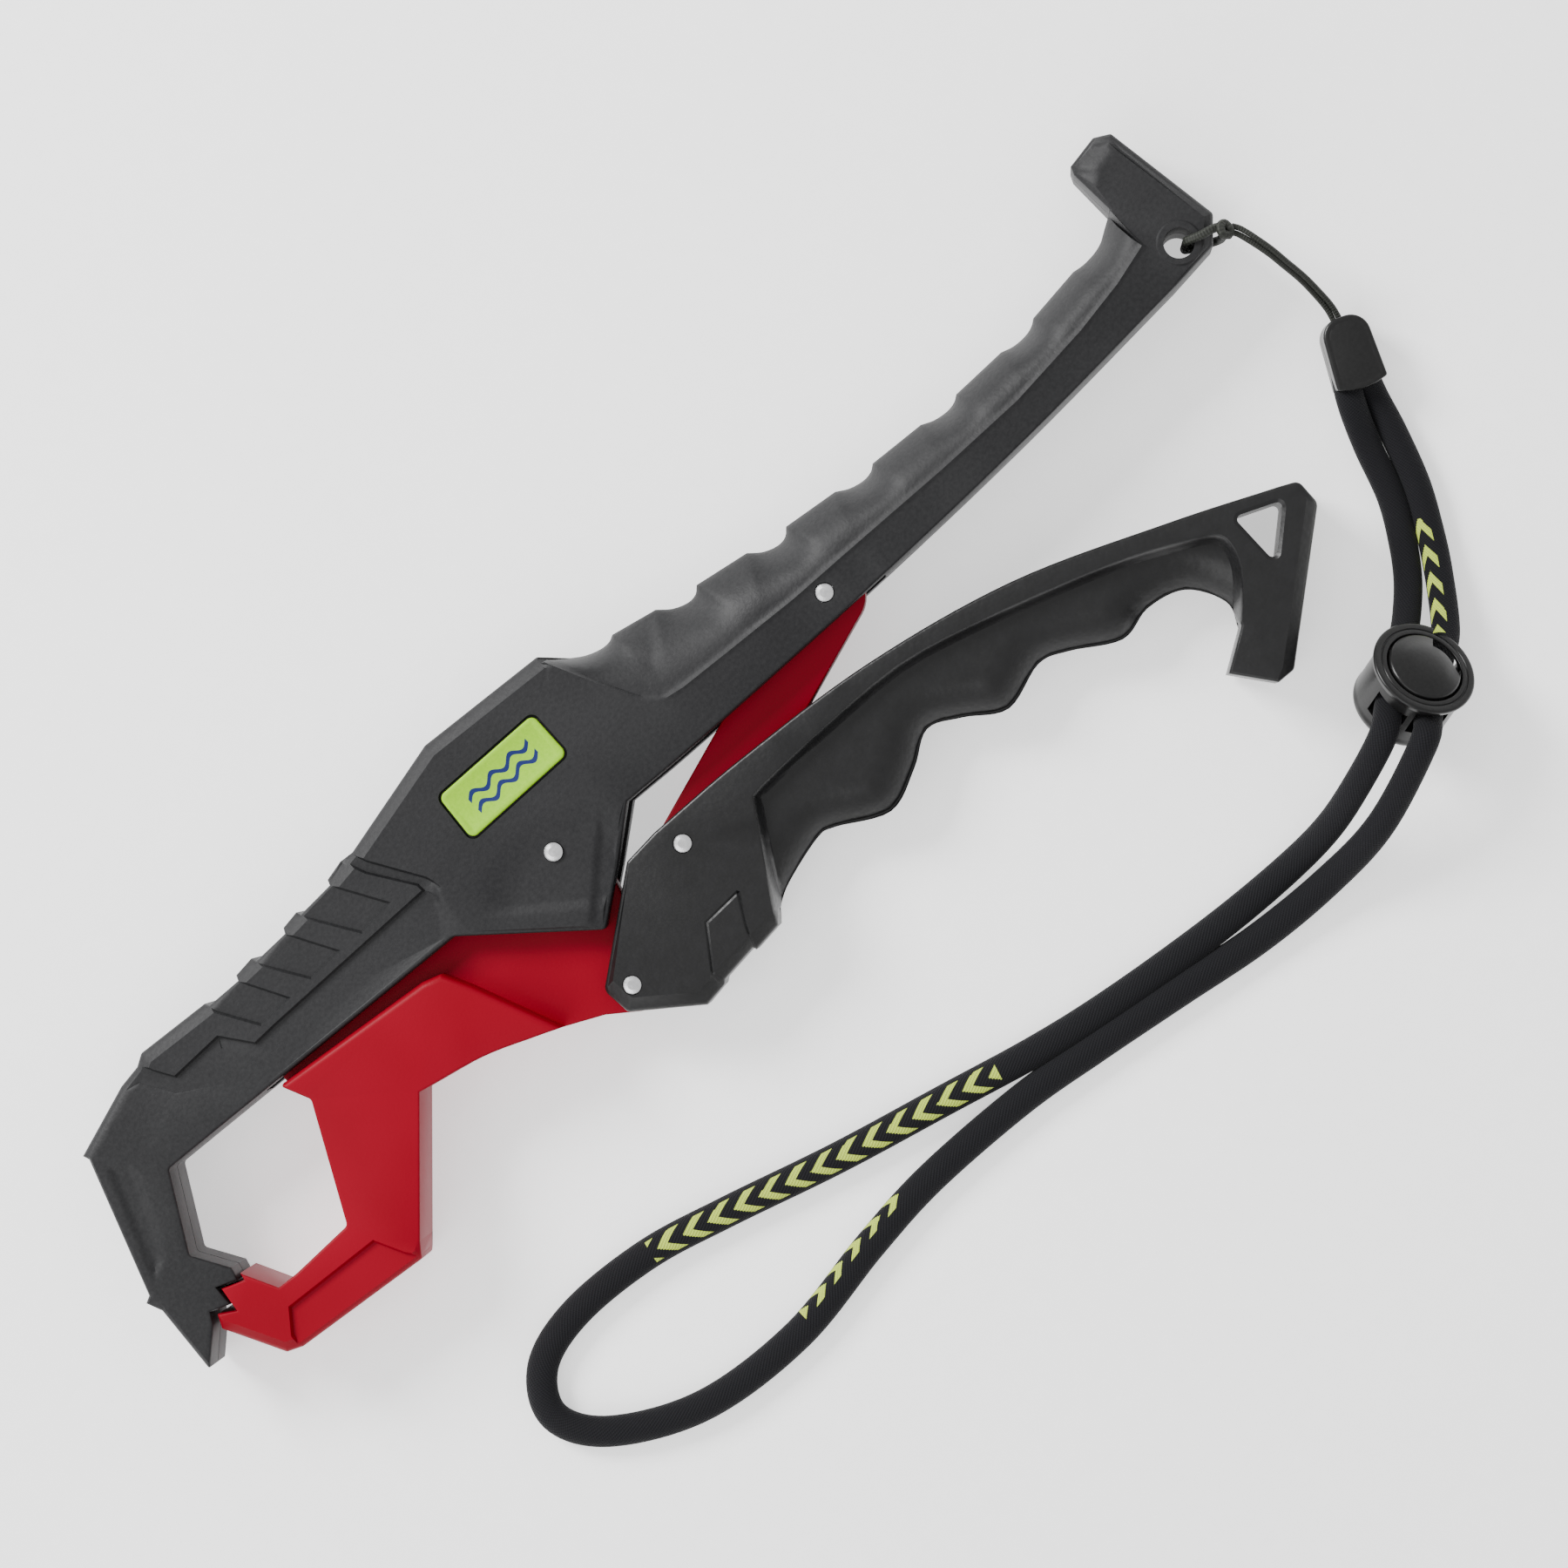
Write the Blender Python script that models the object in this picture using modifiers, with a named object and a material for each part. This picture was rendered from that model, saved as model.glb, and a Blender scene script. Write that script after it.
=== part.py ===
"""Fish lip grip with a toggle linkage and a wrist lanyard, lying flat on its back face.

The plan view is drawn in millimetres from the jaw pivot: +X runs along the tool towards the
hook end of the upper handle, +Y towards the back of the hand, +Z up. The finished model stands
on Z = 0 with its origin under the middle of the tool (the lanyard is left out of that middle).
"""
import math

import bmesh
import bpy
from mathutils import Matrix, Vector

MM = 0.001

# Driving dimensions, in millimetres.
BODY_THICKNESS = 16.0
HANDLE_THICKNESS = 14.0
ARM_THICKNESS = 6.0
SLOT_HEIGHT = 6.6
MID_PLANE = BODY_THICKNESS / 2
PART_GAP = 0.3
PIN_RADIUS = 1.5
PIN_HOLE_RADIUS = 1.6
TOOL_MIDDLE = (23.77, -17.99)

# Pivots of the four-bar linkage, in the plan.
JAW_PIVOT = (0.0, 0.0)
JAW_HANDLE_PIVOT = (-6.1, -23.7)
LINK_HANDLE_PIVOT = (15.4, -13.5)
LINK_BODY_PIVOT = (59.3, -1.4)
LINK_SLOT_RUN = (2.75, -0.25)
LINK_SLOT_RADIUS = 1.95

LANYARD_HOLE = (137.3, -2.1)
LANYARD_HOLE_RADIUS = 2.45
STRING_RADIUS = 0.55
HITCH_RADIUS = 0.75
STRAP_RADIUS = 2.0

LOCK_CENTRE = (114.7, -77.1, 10.1)
LOCK_TILT = 40.0
LOCK_HEADING = 14.0
STRAND_HEADING = 31.5
STRAND_SLOPE = 30.0
STRAND_OFFSET = 3.2
LOCK_RADIUS = 7.75
PLUNGER_RADIUS = 6.1

CAP_CENTRE = (145.0, -33.3, 4.6)
CAP_LENGTH = 12.0
CAP_WIDTH = 8.4
CAP_THICKNESS = 6.2
CAP_TILT = -4.0
CAP_HEADING = -117.0


# ---------------------------------------------------------------- scene and materials

def clear_scene():
    for obj in list(bpy.data.objects):
        bpy.data.objects.remove(obj, do_unlink=True)


def make_collection(name):
    collection = bpy.data.collections.new(name)
    bpy.context.scene.collection.children.link(collection)
    return collection


def make_material(name, color, roughness, metallic=0.0):
    material = bpy.data.materials.new(name)
    material.use_nodes = True
    shader = material.node_tree.nodes["Principled BSDF"]
    shader.inputs["Base Color"].default_value = (*color, 1.0)
    shader.inputs["Roughness"].default_value = roughness
    shader.inputs["Metallic"].default_value = metallic
    return material


def placed(x, y, z=0.0):
    """Plan millimetres to world metres."""
    return Vector(((x - TOOL_MIDDLE[0]) * MM, (y - TOOL_MIDDLE[1]) * MM, z * MM))


# ---------------------------------------------------------------- plan curves

def arc_corner(before, corner, after, radius, steps):
    """Points of a fillet of this radius at a corner."""
    point = Vector(corner)
    to_before = (Vector(before) - point).normalized()
    to_after = (Vector(after) - point).normalized()
    half = to_before.angle(to_after) / 2
    reach = radius / math.tan(half)
    centre = point + (to_before + to_after).normalized() * (radius / math.sin(half))
    start = point + to_before * reach - centre
    end = point + to_after * reach - centre
    turn = start.angle_signed(end)
    return [centre + Matrix.Rotation(-turn * i / steps, 2) @ start for i in range(steps + 1)]


def rounded(corners, steps=4):
    """A closed outline from (x, y) or (x, y, radius) corners."""
    points = []
    for i, corner in enumerate(corners):
        before = corners[i - 1][:2]
        after = corners[(i + 1) % len(corners)][:2]
        if len(corner) == 2:
            points.append(Vector(corner))
        else:
            points.extend(arc_corner(before, corner[:2], after, corner[2], steps))
    return points


def catmull_rom(a, b, c, d, t):
    return 0.5 * (
        2 * b + (c - a) * t + (2 * a - 5 * b + 4 * c - d) * t ** 2 + (3 * b - a - 3 * c + d) * t ** 3
    )


def smooth(route, steps):
    """A smooth open curve through all the route's points."""
    knots = [Vector(point) for point in route]
    knots = [2 * knots[0] - knots[1], *knots, 2 * knots[-1] - knots[-2]]
    points = []
    for a, b, c, d in zip(knots, knots[1:], knots[2:], knots[3:]):
        points.extend(catmull_rom(a, b, c, d, i / steps) for i in range(steps))
    return [*points, knots[-2]]


def evenly_spaced(points, spacing):
    """The same open curve with its points about this far apart."""
    lengths = [(b - a).length for a, b in zip(points, points[1:])]
    count = round(sum(lengths) / spacing)
    step = sum(lengths) / count
    result = [points[0]]
    travelled = 0.0
    for a, b, length in zip(points, points[1:], lengths):
        while len(result) < count and travelled + length >= step * len(result):
            result.append(a.lerp(b, (step * len(result) - travelled) / length))
        travelled += length
    return [*result, points[-1]]


# ---------------------------------------------------------------- solids

def add_object(name, mesh, material, collection):
    obj = bpy.data.objects.new(name, mesh)
    mesh.materials.clear()
    mesh.materials.append(material)
    collection.objects.link(obj)
    return obj


def curve_to_object(name, curve, material, collection):
    """A curve object made a closed mesh object, its caps welded."""
    guide = bpy.data.objects.new(name + "_guide", curve)
    bpy.context.scene.collection.objects.link(guide)
    graph = bpy.context.evaluated_depsgraph_get()
    mesh = bpy.data.meshes.new_from_object(guide.evaluated_get(graph))
    mesh.name = name
    bpy.data.objects.remove(guide, do_unlink=True)
    bpy.data.curves.remove(curve)
    shape = bmesh.new()
    shape.from_mesh(mesh)
    bmesh.ops.remove_doubles(shape, verts=shape.verts, dist=0.00001)
    bmesh.ops.dissolve_limit(shape, angle_limit=0.0002, verts=shape.verts, edges=shape.edges)
    bmesh.ops.recalc_face_normals(shape, faces=shape.faces)
    shape.to_mesh(mesh)
    shape.free()
    return add_object(name, mesh, material, collection)


def plate(name, outline, low, high, material, collection):
    """A flat plate of this outline between two heights."""
    curve = bpy.data.curves.new(name, "CURVE")
    curve.dimensions = "2D"
    curve.fill_mode = "BOTH"
    curve.extrude = (high - low) / 2 * MM
    spline = curve.splines.new("POLY")
    spline.points.add(len(outline) - 1)
    for point, place in zip(spline.points, outline):
        point.co = (*placed(place[0], place[1])[:2], 0, 1)
    spline.use_cyclic_u = True
    obj = curve_to_object(name, curve, material, collection)
    obj.data.transform(Matrix.Translation((0, 0, (low + high) / 2 * MM)))
    return obj


def tube(name, points, radius, material, collection, closed=False):
    """A round tube along these points, given in world metres."""
    curve = bpy.data.curves.new(name, "CURVE")
    curve.dimensions = "3D"
    curve.bevel_depth = radius * MM
    curve.bevel_resolution = 2
    curve.use_fill_caps = True
    spline = curve.splines.new("POLY")
    spline.points.add(len(points) - 1)
    for point, place in zip(spline.points, points):
        point.co = (*place, 1)
    spline.use_cyclic_u = closed
    obj = curve_to_object(name, curve, material, collection)
    obj.data.shade_smooth()
    return obj


def turned(name, profile, material, collection, steps=24):
    """A solid of revolution about Z: the (radius, z) profile runs from top to bottom."""
    mesh = bpy.data.meshes.new(name)
    shape = bmesh.new()
    corners = [shape.verts.new((radius * MM, 0, z * MM)) for radius, z in profile]
    for a, b in zip(corners, corners[1:]):
        shape.edges.new((a, b))
    shape.to_mesh(mesh)
    shape.free()
    obj = add_object(name, mesh, material, collection)
    screw = obj.modifiers.new("turn", "SCREW")
    screw.steps = steps
    screw.render_steps = steps
    screw.use_merge_vertices = True
    screw.merge_threshold = 0.00001
    return obj


def cylinder(name, radius, low, high, material, collection, segments=24):
    mesh = bpy.data.meshes.new(name)
    shape = bmesh.new()
    bmesh.ops.create_cone(shape, cap_ends=True, segments=segments, radius1=radius * MM,
                          radius2=radius * MM, depth=(high - low) * MM)
    bmesh.ops.translate(shape, verts=shape.verts, vec=(0, 0, (low + high) / 2 * MM))
    shape.to_mesh(mesh)
    shape.free()
    return add_object(name, mesh, material, collection)


def box(name, size, centre, material, collection):
    mesh = bpy.data.meshes.new(name)
    shape = bmesh.new()
    bmesh.ops.create_cube(shape, size=1.0)
    bmesh.ops.scale(shape, verts=shape.verts, vec=[side * MM for side in size])
    bmesh.ops.translate(shape, verts=shape.verts, vec=[place * MM for place in centre])
    shape.to_mesh(mesh)
    shape.free()
    return add_object(name, mesh, material, collection)


def combine(target, tool, operation="DIFFERENCE"):
    """Cuts the tool from the target, or joins it on; the tool becomes a hidden wire guide."""
    tool.hide_render = True
    tool.display_type = "WIRE"
    modifier = target.modifiers.new(tool.name, "BOOLEAN")
    modifier.operation = operation
    modifier.solver = "EXACT"
    modifier.object = tool


# ---------------------------------------------------------------- body

# Where each finger groove starts along the handle, and its depth.
GROOVES = ((23.2, 1.1), (38.3, 1.7), (54.9, 1.75), (71.7, 1.25), (88.8, 1.05), (105.9, 0.95), (122.9, 0.7))
# The shape of a groove: distance along the handle and share of the depth.
GROOVE_PROFILE = ((0.0, 0.0), (2.0, 0.75), (4.4, 1.0), (6.2, 0.7), (7.4, 0.0))


def crest_line(x):
    """The gently hollow line that the crests of the upper handle lie on."""
    return 6.0 + 0.0063 * abs(x - 106.0) ** 1.75


def handle_grooves():
    points = []
    for start, depth in GROOVES:
        for along, share in GROOVE_PROFILE:
            points.append((start + along, crest_line(start + along) - depth * share))
    return points


def body_outline():
    nose = [
        (-97.3, -19.6, 0.3), (-96.1, -7.4), (-97.0, -4.8), (-95.9, -4.2), (-87.4, 17.9), (-87.8, 19.0),
        (-75.5, 22.5), (-71.5, 22.9), (-69.5, 24.0, 0.8), (-56.7, 22.4), (-56.3, 21.6), (-50.2, 21.1),
        (-49.9, 22.0), (-46.3, 22.2), (-46.0, 21.3), (-39.6, 21.1), (-39.2, 22.0), (-36.0, 22.3),
        (-35.7, 21.5), (-29.1, 21.5), (-28.8, 22.4), (-25.3, 23.0), (-22.9, 22.7), (-2.7, 26.5, 1.0),
        (19.8, 23.8, 0.6),
    ]
    hook = [
        (133.4, 9.4, 0.4), (133.4, 17.3, 0.6), (134.0, 18.6), (139.8, 19.4, 0.6), (142.1, 17.8, 0.6),
        (144.5, -2.5, 1.0), (140.9, -6.1),
    ]
    lower_edge = smooth([(132.2, -6.5), (98.2, -6.8), (63.3, -5.8), (28.5, -3.8), (13.9, -2.6)], 3)
    belly = [(6.0, -8.4), (-2.9, -14.5, 0.8), (-20.8, 1.8, 1.2)]
    window = [
        (-79.2, 7.8, 0.8), (-86.6, -4.3, 0.8), (-83.2, -10.4), (-83.5, -11.5), (-83.9, -12.5),
        (-87.2, -10.9), (-87.4, -14.4), (-90.6, -13.0), (-91.6, -14.7),
    ]
    return rounded([*nose, *handle_grooves(), *hook, *[tuple(p) for p in lower_edge], *belly, *window])


def body_slot():
    """Room for the jaw's web and the link, open along the body's lower edge."""
    return [Vector(p) for p in (
        (-60.0, 8.8), (-24.0, 6.2), (-19.0, 16.5), (-4.0, 20.5), (14.0, 18.0), (30.0, 11.0), (45.0, 7.5),
        (60.0, 4.6), (68.0, 3.4), (68.0, -14.0), (40.0, -14.0), (12.0, -20.0), (-4.0, -26.0),
        (-24.0, -12.0), (-60.0, -6.0),
    )]


BADGE_OUTLINE = ((-6.8, 19.0, 1.2), (13.0, 17.7, 1.2), (12.6, 9.4, 1.2), (-7.7, 10.5, 1.2))
BADGE_RECESS = ((-7.1, 19.4, 1.4), (13.4, 18.05, 1.4), (12.9, 9.0, 1.4), (-8.1, 10.15, 1.4))
BADGE_THICKNESS = 0.6
BADGE_DEPTH = 0.95


def make_body(material, parts, cutters):
    outline = body_outline()
    half_slot = SLOT_HEIGHT / 2
    slot = plate("body_slot", body_slot(), MID_PLANE - half_slot, MID_PLANE + half_slot, material, cutters)
    front = plate("body_front_shell", outline, MID_PLANE + PART_GAP / 2, BODY_THICKNESS, material, parts)
    back = plate("body_back_shell", outline, 0.0, MID_PLANE - PART_GAP / 2, material, parts)
    recess = rounded(BADGE_RECESS)
    front_recess = plate("front_recess", recess, BODY_THICKNESS - BADGE_DEPTH, BODY_THICKNESS + 2, material,
                         cutters)
    back_recess = plate("back_recess", recess, -2.0, BADGE_DEPTH, material, cutters)
    combine(back, make_string_channel(material, cutters))
    for shell, pocket in ((front, front_recess), (back, back_recess)):
        combine(shell, slot)
        combine(shell, pocket)
        for name, place, radius in (
            ("jaw_pin_hole", JAW_PIVOT, PIN_HOLE_RADIUS),
            ("link_pin_hole", LINK_BODY_PIVOT, PIN_HOLE_RADIUS),
            ("lanyard_hole", LANYARD_HOLE, LANYARD_HOLE_RADIUS),
        ):
            combine(shell, drill(f"{shell.name}_{name}", place, radius, material, cutters))


def drill(name, place, radius, material, cutters):
    """A round cutter that runs through the whole tool."""
    cutter = cylinder(name, radius, -5.0, BODY_THICKNESS + 5.0, material, cutters)
    cutter.location = placed(*place)
    return cutter


HITCH_HEADING = -29.0
HITCH_INNER = 1.3
HITCH_OUTER = 7.3


def make_string_channel(material, cutters):
    """A shallow channel in the back face, so that the string's hitch doesn't lift the tool."""
    channel = box("string_channel", (12.0, 3.5, 4.6), (4.6, 0.0, 0.0), material, cutters)
    channel.location = placed(*LANYARD_HOLE)
    channel.rotation_euler = (0, 0, math.radians(HITCH_HEADING))
    return channel


# ---------------------------------------------------------------- lower handle

def lower_handle_outline():
    rail = smooth([
        (13.4, -9.1), (31.2, -10.5), (56.2, -14.1), (81.3, -21.0), (105.0, -31.8), (121.5, -40.2),
    ], 4)
    hook = [
        (124.2, -41.7, 1.5), (124.0, -46.3, 1.5), (102.9, -62.2, 1.0), (99.7, -61.9), (95.1, -55.4),
    ]
    grip = smooth([
        (101.8, -51.5), (103.1, -47.0), (99.9, -41.2), (93.7, -39.1), (87.4, -39.8), (80.1, -35.1),
        (75.2, -33.1), (66.9, -34.8), (60.7, -30.6), (55.4, -27.9), (49.5, -30.9), (42.1, -33.1),
        (34.1, -28.6), (30.8, -27.8), (22.7, -29.6), (18.6, -31.5),
    ], 2)
    block = [
        (16.9, -33.3), (11.7, -33.6), (11.5, -33.0), (4.9, -33.4), (4.2, -33.9), (0.0, -34.3),
        (-9.8, -26.2, 1.0), (-10.1, -21.2, 1.5), (7.1, -9.3, 0.8),
    ]
    return rounded([*[tuple(p) for p in rail], *hook, *[tuple(p) for p in grip], *block])


def handle_slot():
    """Room for the jaw's tail at one end and the link at the other, open at the edges they leave by."""
    return [Vector(p) for p in (
        (-24.0, -4.0), (62.0, -4.0), (56.0, -12.0), (44.0, -15.5), (30.0, -19.5), (22.0, -22.5),
        (10.0, -24.0), (2.5, -27.0), (-1.5, -30.0), (-6.0, -38.0), (-24.0, -38.0),
    )]


TRIANGLE_HOLE = ((113.0, -38.5, 0.8), (120.4, -42.1, 0.8), (112.6, -48.4, 0.8))


def make_lower_handle(material, parts, cutters):
    outline = lower_handle_outline()
    half_slot = SLOT_HEIGHT / 2
    slot = plate("handle_slot", handle_slot(), MID_PLANE - half_slot, MID_PLANE + half_slot, material, cutters)
    triangle = plate("triangle_hole", rounded(TRIANGLE_HOLE), -5.0, BODY_THICKNESS + 5, material, cutters)
    low = MID_PLANE - HANDLE_THICKNESS / 2
    high = MID_PLANE + HANDLE_THICKNESS / 2
    front = plate("handle_front_shell", outline, MID_PLANE + PART_GAP / 2, high, material, parts)
    back = plate("handle_back_shell", outline, low, MID_PLANE - PART_GAP / 2, material, parts)
    for shell in (front, back):
        combine(shell, slot)
        combine(shell, triangle)
        for name, place in (("tail_pin_hole", JAW_HANDLE_PIVOT), ("arm_pin_hole", LINK_HANDLE_PIVOT)):
            combine(shell, drill(f"{shell.name}_{name}", place, PIN_HOLE_RADIUS, material, cutters))
    return [front, back]


# ---------------------------------------------------------------- lower jaw and link

def jaw_head_outline():
    """The full-thickness jaw, in front of the web that runs into the slots."""
    shoulder = smooth([(-42.0, -11.9), (-31.0, -15.0), (-22.9, -18.6), (-18.7, -20.6)], 3)
    return rounded([
        (-57.2, 4.6, 0.4), (-55.1, -0.5, 1.0), (-65.2, -18.7, 0.8), (-76.3, -18.4), (-79.9, -18.0),
        (-82.7, -12.0), (-83.0, -13.3), (-86.6, -11.7), (-87.3, -15.9), (-89.9, -14.1),
        (-91.3, -16.2, 0.4), (-86.5, -26.1, 0.6), (-84.0, -27.3, 0.6), (-60.6, -30.8, 0.6),
        (-58.6, -28.6, 1.0), *[tuple(p) for p in shoulder],
        (-24.3, -5.7), (-26.4, -1.0, 1.0), (-29.5, 0.2),
    ])


def jaw_web_outline():
    """The thin web: a strip under the body's edge, the jaw pivot's eye and the tail's eye."""
    pivot_eye = [Vector((6.5 * math.cos(math.radians(a)), 6.5 * math.sin(math.radians(a))))
                 for a in range(100, -21, -12)]
    tail_eye = [Vector(JAW_HANDLE_PIVOT) + Vector((math.cos(math.radians(a)), math.sin(math.radians(a)))) * 4.5
                for a in range(0, -121, -12)]
    strip = [Vector(p) for p in (
        (-12.9, -23.9), (-22.0, -18.9), (-30.0, -14.0), (-50.0, -4.0), (-56.2, 0.5), (-56.6, 4.4),
        (-56.4, 7.0), (-24.0, 4.4), (-10.0, 6.0),
    )]
    return [*pivot_eye, *tail_eye, *strip]


def make_lower_jaw(material, parts, cutters):
    jaw = plate("lower_jaw", jaw_head_outline(), 0.0, BODY_THICKNESS, material, parts)
    half_arm = ARM_THICKNESS / 2
    web = plate("jaw_web", jaw_web_outline(), MID_PLANE - half_arm, MID_PLANE + half_arm, material, cutters)
    combine(jaw, web, "UNION")
    combine(jaw, drill("jaw_pivot_hole", JAW_PIVOT, PIN_HOLE_RADIUS, material, cutters))
    combine(jaw, drill("jaw_tail_hole", JAW_HANDLE_PIVOT, PIN_HOLE_RADIUS, material, cutters))
    return jaw


def arm_frame(start, end):
    along = (Vector(end) - Vector(start)).normalized()
    across = Vector((-along.y, along.x))
    return along, across


def stadium(start, end, left, right, segments=8):
    """A bar's outline round two points: left and right are its half widths."""
    along, across = arm_frame(start, end)
    radius = (left + right) / 2
    middle = across * (left - right) / 2
    points = []
    for place, first in ((Vector(end), 90.0), (Vector(start), -90.0)):
        for i in range(segments + 1):
            angle = math.radians(first - 180.0 * i / segments)
            points.append(place + middle + (along * math.cos(angle) + across * math.sin(angle)) * radius)
    return points


def make_link(material, parts, cutters):
    half_arm = ARM_THICKNESS / 2
    outline = stadium(LINK_HANDLE_PIVOT, LINK_BODY_PIVOT, 4.4, 6.4)
    link = plate("link_arm", outline, MID_PLANE - half_arm, MID_PLANE + half_arm, material, parts)
    slot_start = Vector(LINK_HANDLE_PIVOT)
    slot_end = slot_start + Vector(LINK_SLOT_RUN)
    slot = plate("link_slot", stadium(slot_start, slot_end, LINK_SLOT_RADIUS, LINK_SLOT_RADIUS), -5.0,
                 BODY_THICKNESS + 5, material, cutters)
    combine(link, slot)
    combine(link, drill("link_body_hole", LINK_BODY_PIVOT, PIN_HOLE_RADIUS, material, cutters))
    return link


# ---------------------------------------------------------------- pins and badges

def make_pin(name, place, reach, material, parts):
    """A pivot pin with slightly domed heads; reach is how far the faces it joins are from the mid-plane."""
    low = MID_PLANE - reach + 0.1
    high = MID_PLANE + reach + 0.25
    dome = [(PIN_RADIUS * math.sin(math.radians(a)), 0.35 * math.cos(math.radians(a))) for a in (0, 30, 60)]
    top = [(radius, high - 0.35 + rise) for radius, rise in dome]
    bottom = [(radius, low + 0.35 - rise) for radius, rise in reversed(dome)]
    profile = [*top, (PIN_RADIUS, high - 0.35), (PIN_RADIUS, low + 0.35), *bottom]
    pin = turned(name, profile, material, parts, steps=20)
    pin.location = placed(*place)
    return pin


def make_badges(material, parts):
    outline = rounded(BADGE_OUTLINE)
    high = BODY_THICKNESS - 0.05
    plate("badge_front", outline, high - BADGE_THICKNESS, high, material, parts)
    plate("badge_back", outline, 0.05, 0.05 + BADGE_THICKNESS, material, parts)


# ---------------------------------------------------------------- lanyard

def heading_vector(degrees):
    angle = math.radians(degrees)
    return Vector((math.cos(angle), math.sin(angle), 0))


def make_hitch(material, parts):
    """The string's hitch: one closed loop through the lanyard hole and round the tool's corner."""
    out = heading_vector(HITCH_HEADING)
    centre = Vector((*LANYARD_HOLE, 0))
    low = HITCH_RADIUS + 0.2
    high = BODY_THICKNESS + HITCH_RADIUS + 0.3
    corner = 1.1
    profile = rounded([
        (HITCH_INNER, low, corner), (HITCH_INNER, high, corner), (HITCH_OUTER, high, corner),
        (HITCH_OUTER, low, corner),
    ], 3)
    points = [placed(*(centre + out * p[0] + Vector((0, 0, p[1])))) for p in profile]
    tube("string_hitch", points, HITCH_RADIUS, material, parts, closed=True)


# Both legs of the thin string, from the swivel point at the tool's corner into the cap.
STRING_ROUTE = (
    (145.3, -6.9, 15.0), (145.9, -9.9, 15.0), (146.6, -13.0, 13.8), (147.1, -16.0, 11.8),
    (147.7, -19.4, 9.0), (147.9, -22.8, 6.6), (147.8, -25.6, 5.3), (147.2, -28.0, 4.8), (146.2, -30.6, 4.7),
)


def make_strings(material, parts):
    middle = smooth(STRING_ROUTE, 4)
    strings = []
    for name, side in (("string_left", 1), ("string_right", -1)):
        points = []
        for i, place in enumerate(middle):
            before = middle[max(i - 1, 0)]
            after = middle[min(i + 1, len(middle) - 1)]
            run = after - before
            across = Vector((-run.y, run.x, 0)).normalized() * (STRING_RADIUS + 0.15) * side
            points.append(placed(*(place + across)))
        strings.append(tube(name, evenly_spaced(points, 2.2 * MM), STRING_RADIUS, material, parts))
    return strings


def lock_matrix():
    """The cord lock's own axes: local Z runs out through the button."""
    heading = heading_vector(LOCK_HEADING)
    tilt = math.radians(LOCK_TILT)
    axis = heading * math.sin(tilt) + Vector((0, 0, math.cos(tilt)))
    side = (-Vector(strand_direction()).cross(axis)).normalized()
    forward = side.cross(axis)
    place = placed(*LOCK_CENTRE)
    return Matrix((
        (forward.x, side.x, axis.x, place.x),
        (forward.y, side.y, axis.y, place.y),
        (forward.z, side.z, axis.z, place.z),
        (0, 0, 0, 1),
    ))


def strand_direction():
    """The way both strands run through the lock, towards the cap and down to the surface."""
    slope = math.radians(STRAND_SLOPE)
    return heading_vector(STRAND_HEADING) * math.cos(slope) - Vector((0, 0, math.sin(slope)))


def strand_in_lock(side, distance):
    """A point of one strand inside the lock, in plan millimetres; side is 1 for the inner strand."""
    along = strand_direction()
    across = Vector((0, 0, 1)).cross(along).normalized()
    return Vector(LOCK_CENTRE) + Vector((0.25, 0.08, 0.3)) + across * STRAND_OFFSET * side + along * distance


STRAND_FROM_CAP = (
    (139.6, -38.9, 4.5), (136.8, -45.4, 2.8), (133.8, -53.7, 2.15), (130.2, -59.9, 2.15), (126.2, -65.1, 2.9),
)
LOOP_ROUTE = (
    (97.4, -81.9, 12.6), (89.7, -83.8, 7.2), (81.1, -84.2, 3.0), (68.6, -83.3, 2.15), (54.9, -81.4, 2.15),
    (41.6, -79.0, 2.15), (30.0, -76.2, 2.15), (15.5, -71.9, 2.15), (-3.5, -66.3, 2.15), (-22.3, -59.9, 2.15),
    (-36.3, -55.7, 2.15), (-50.9, -54.2, 2.15), (-61.0, -56.6, 2.15), (-65.4, -63.6, 2.15), (-60.5, -71.8, 2.15),
    (-46.6, -79.4, 2.15), (-28.1, -81.9, 2.15), (-9.7, -79.9, 2.15), (4.9, -79.1, 2.15), (23.9, -80.4, 2.15),
    (38.1, -82.8, 2.15), (53.7, -85.8, 2.15), (69.0, -88.8, 2.15), (83.2, -90.0, 4.2), (95.4, -89.2, 10.0),
)
STRAND_TO_CAP = (
    (130.7, -67.4, 2.6), (134.6, -61.4, 2.15), (138.1, -55.0, 2.15), (141.2, -46.9, 2.15), (143.0, -40.9, 2.15),
)


def make_strap(material, parts):
    """The wrist strap: one length of woven tube with both ends in the cap."""
    inner = [tuple(strand_in_lock(1, d)) for d in (11.0, 5.5, 0.0, -5.5, -11.0)]
    outer = [tuple(strand_in_lock(-1, d)) for d in (-11.0, -5.5, 0.0, 5.5, 11.0)]
    route = [*STRAND_FROM_CAP, *inner, *LOOP_ROUTE, *outer, *STRAND_TO_CAP]
    points = [placed(*p) for p in smooth(route, 6)]
    return tube("wrist_strap", evenly_spaced(points, 6.8 * MM), STRAP_RADIUS, material, parts)


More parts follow.
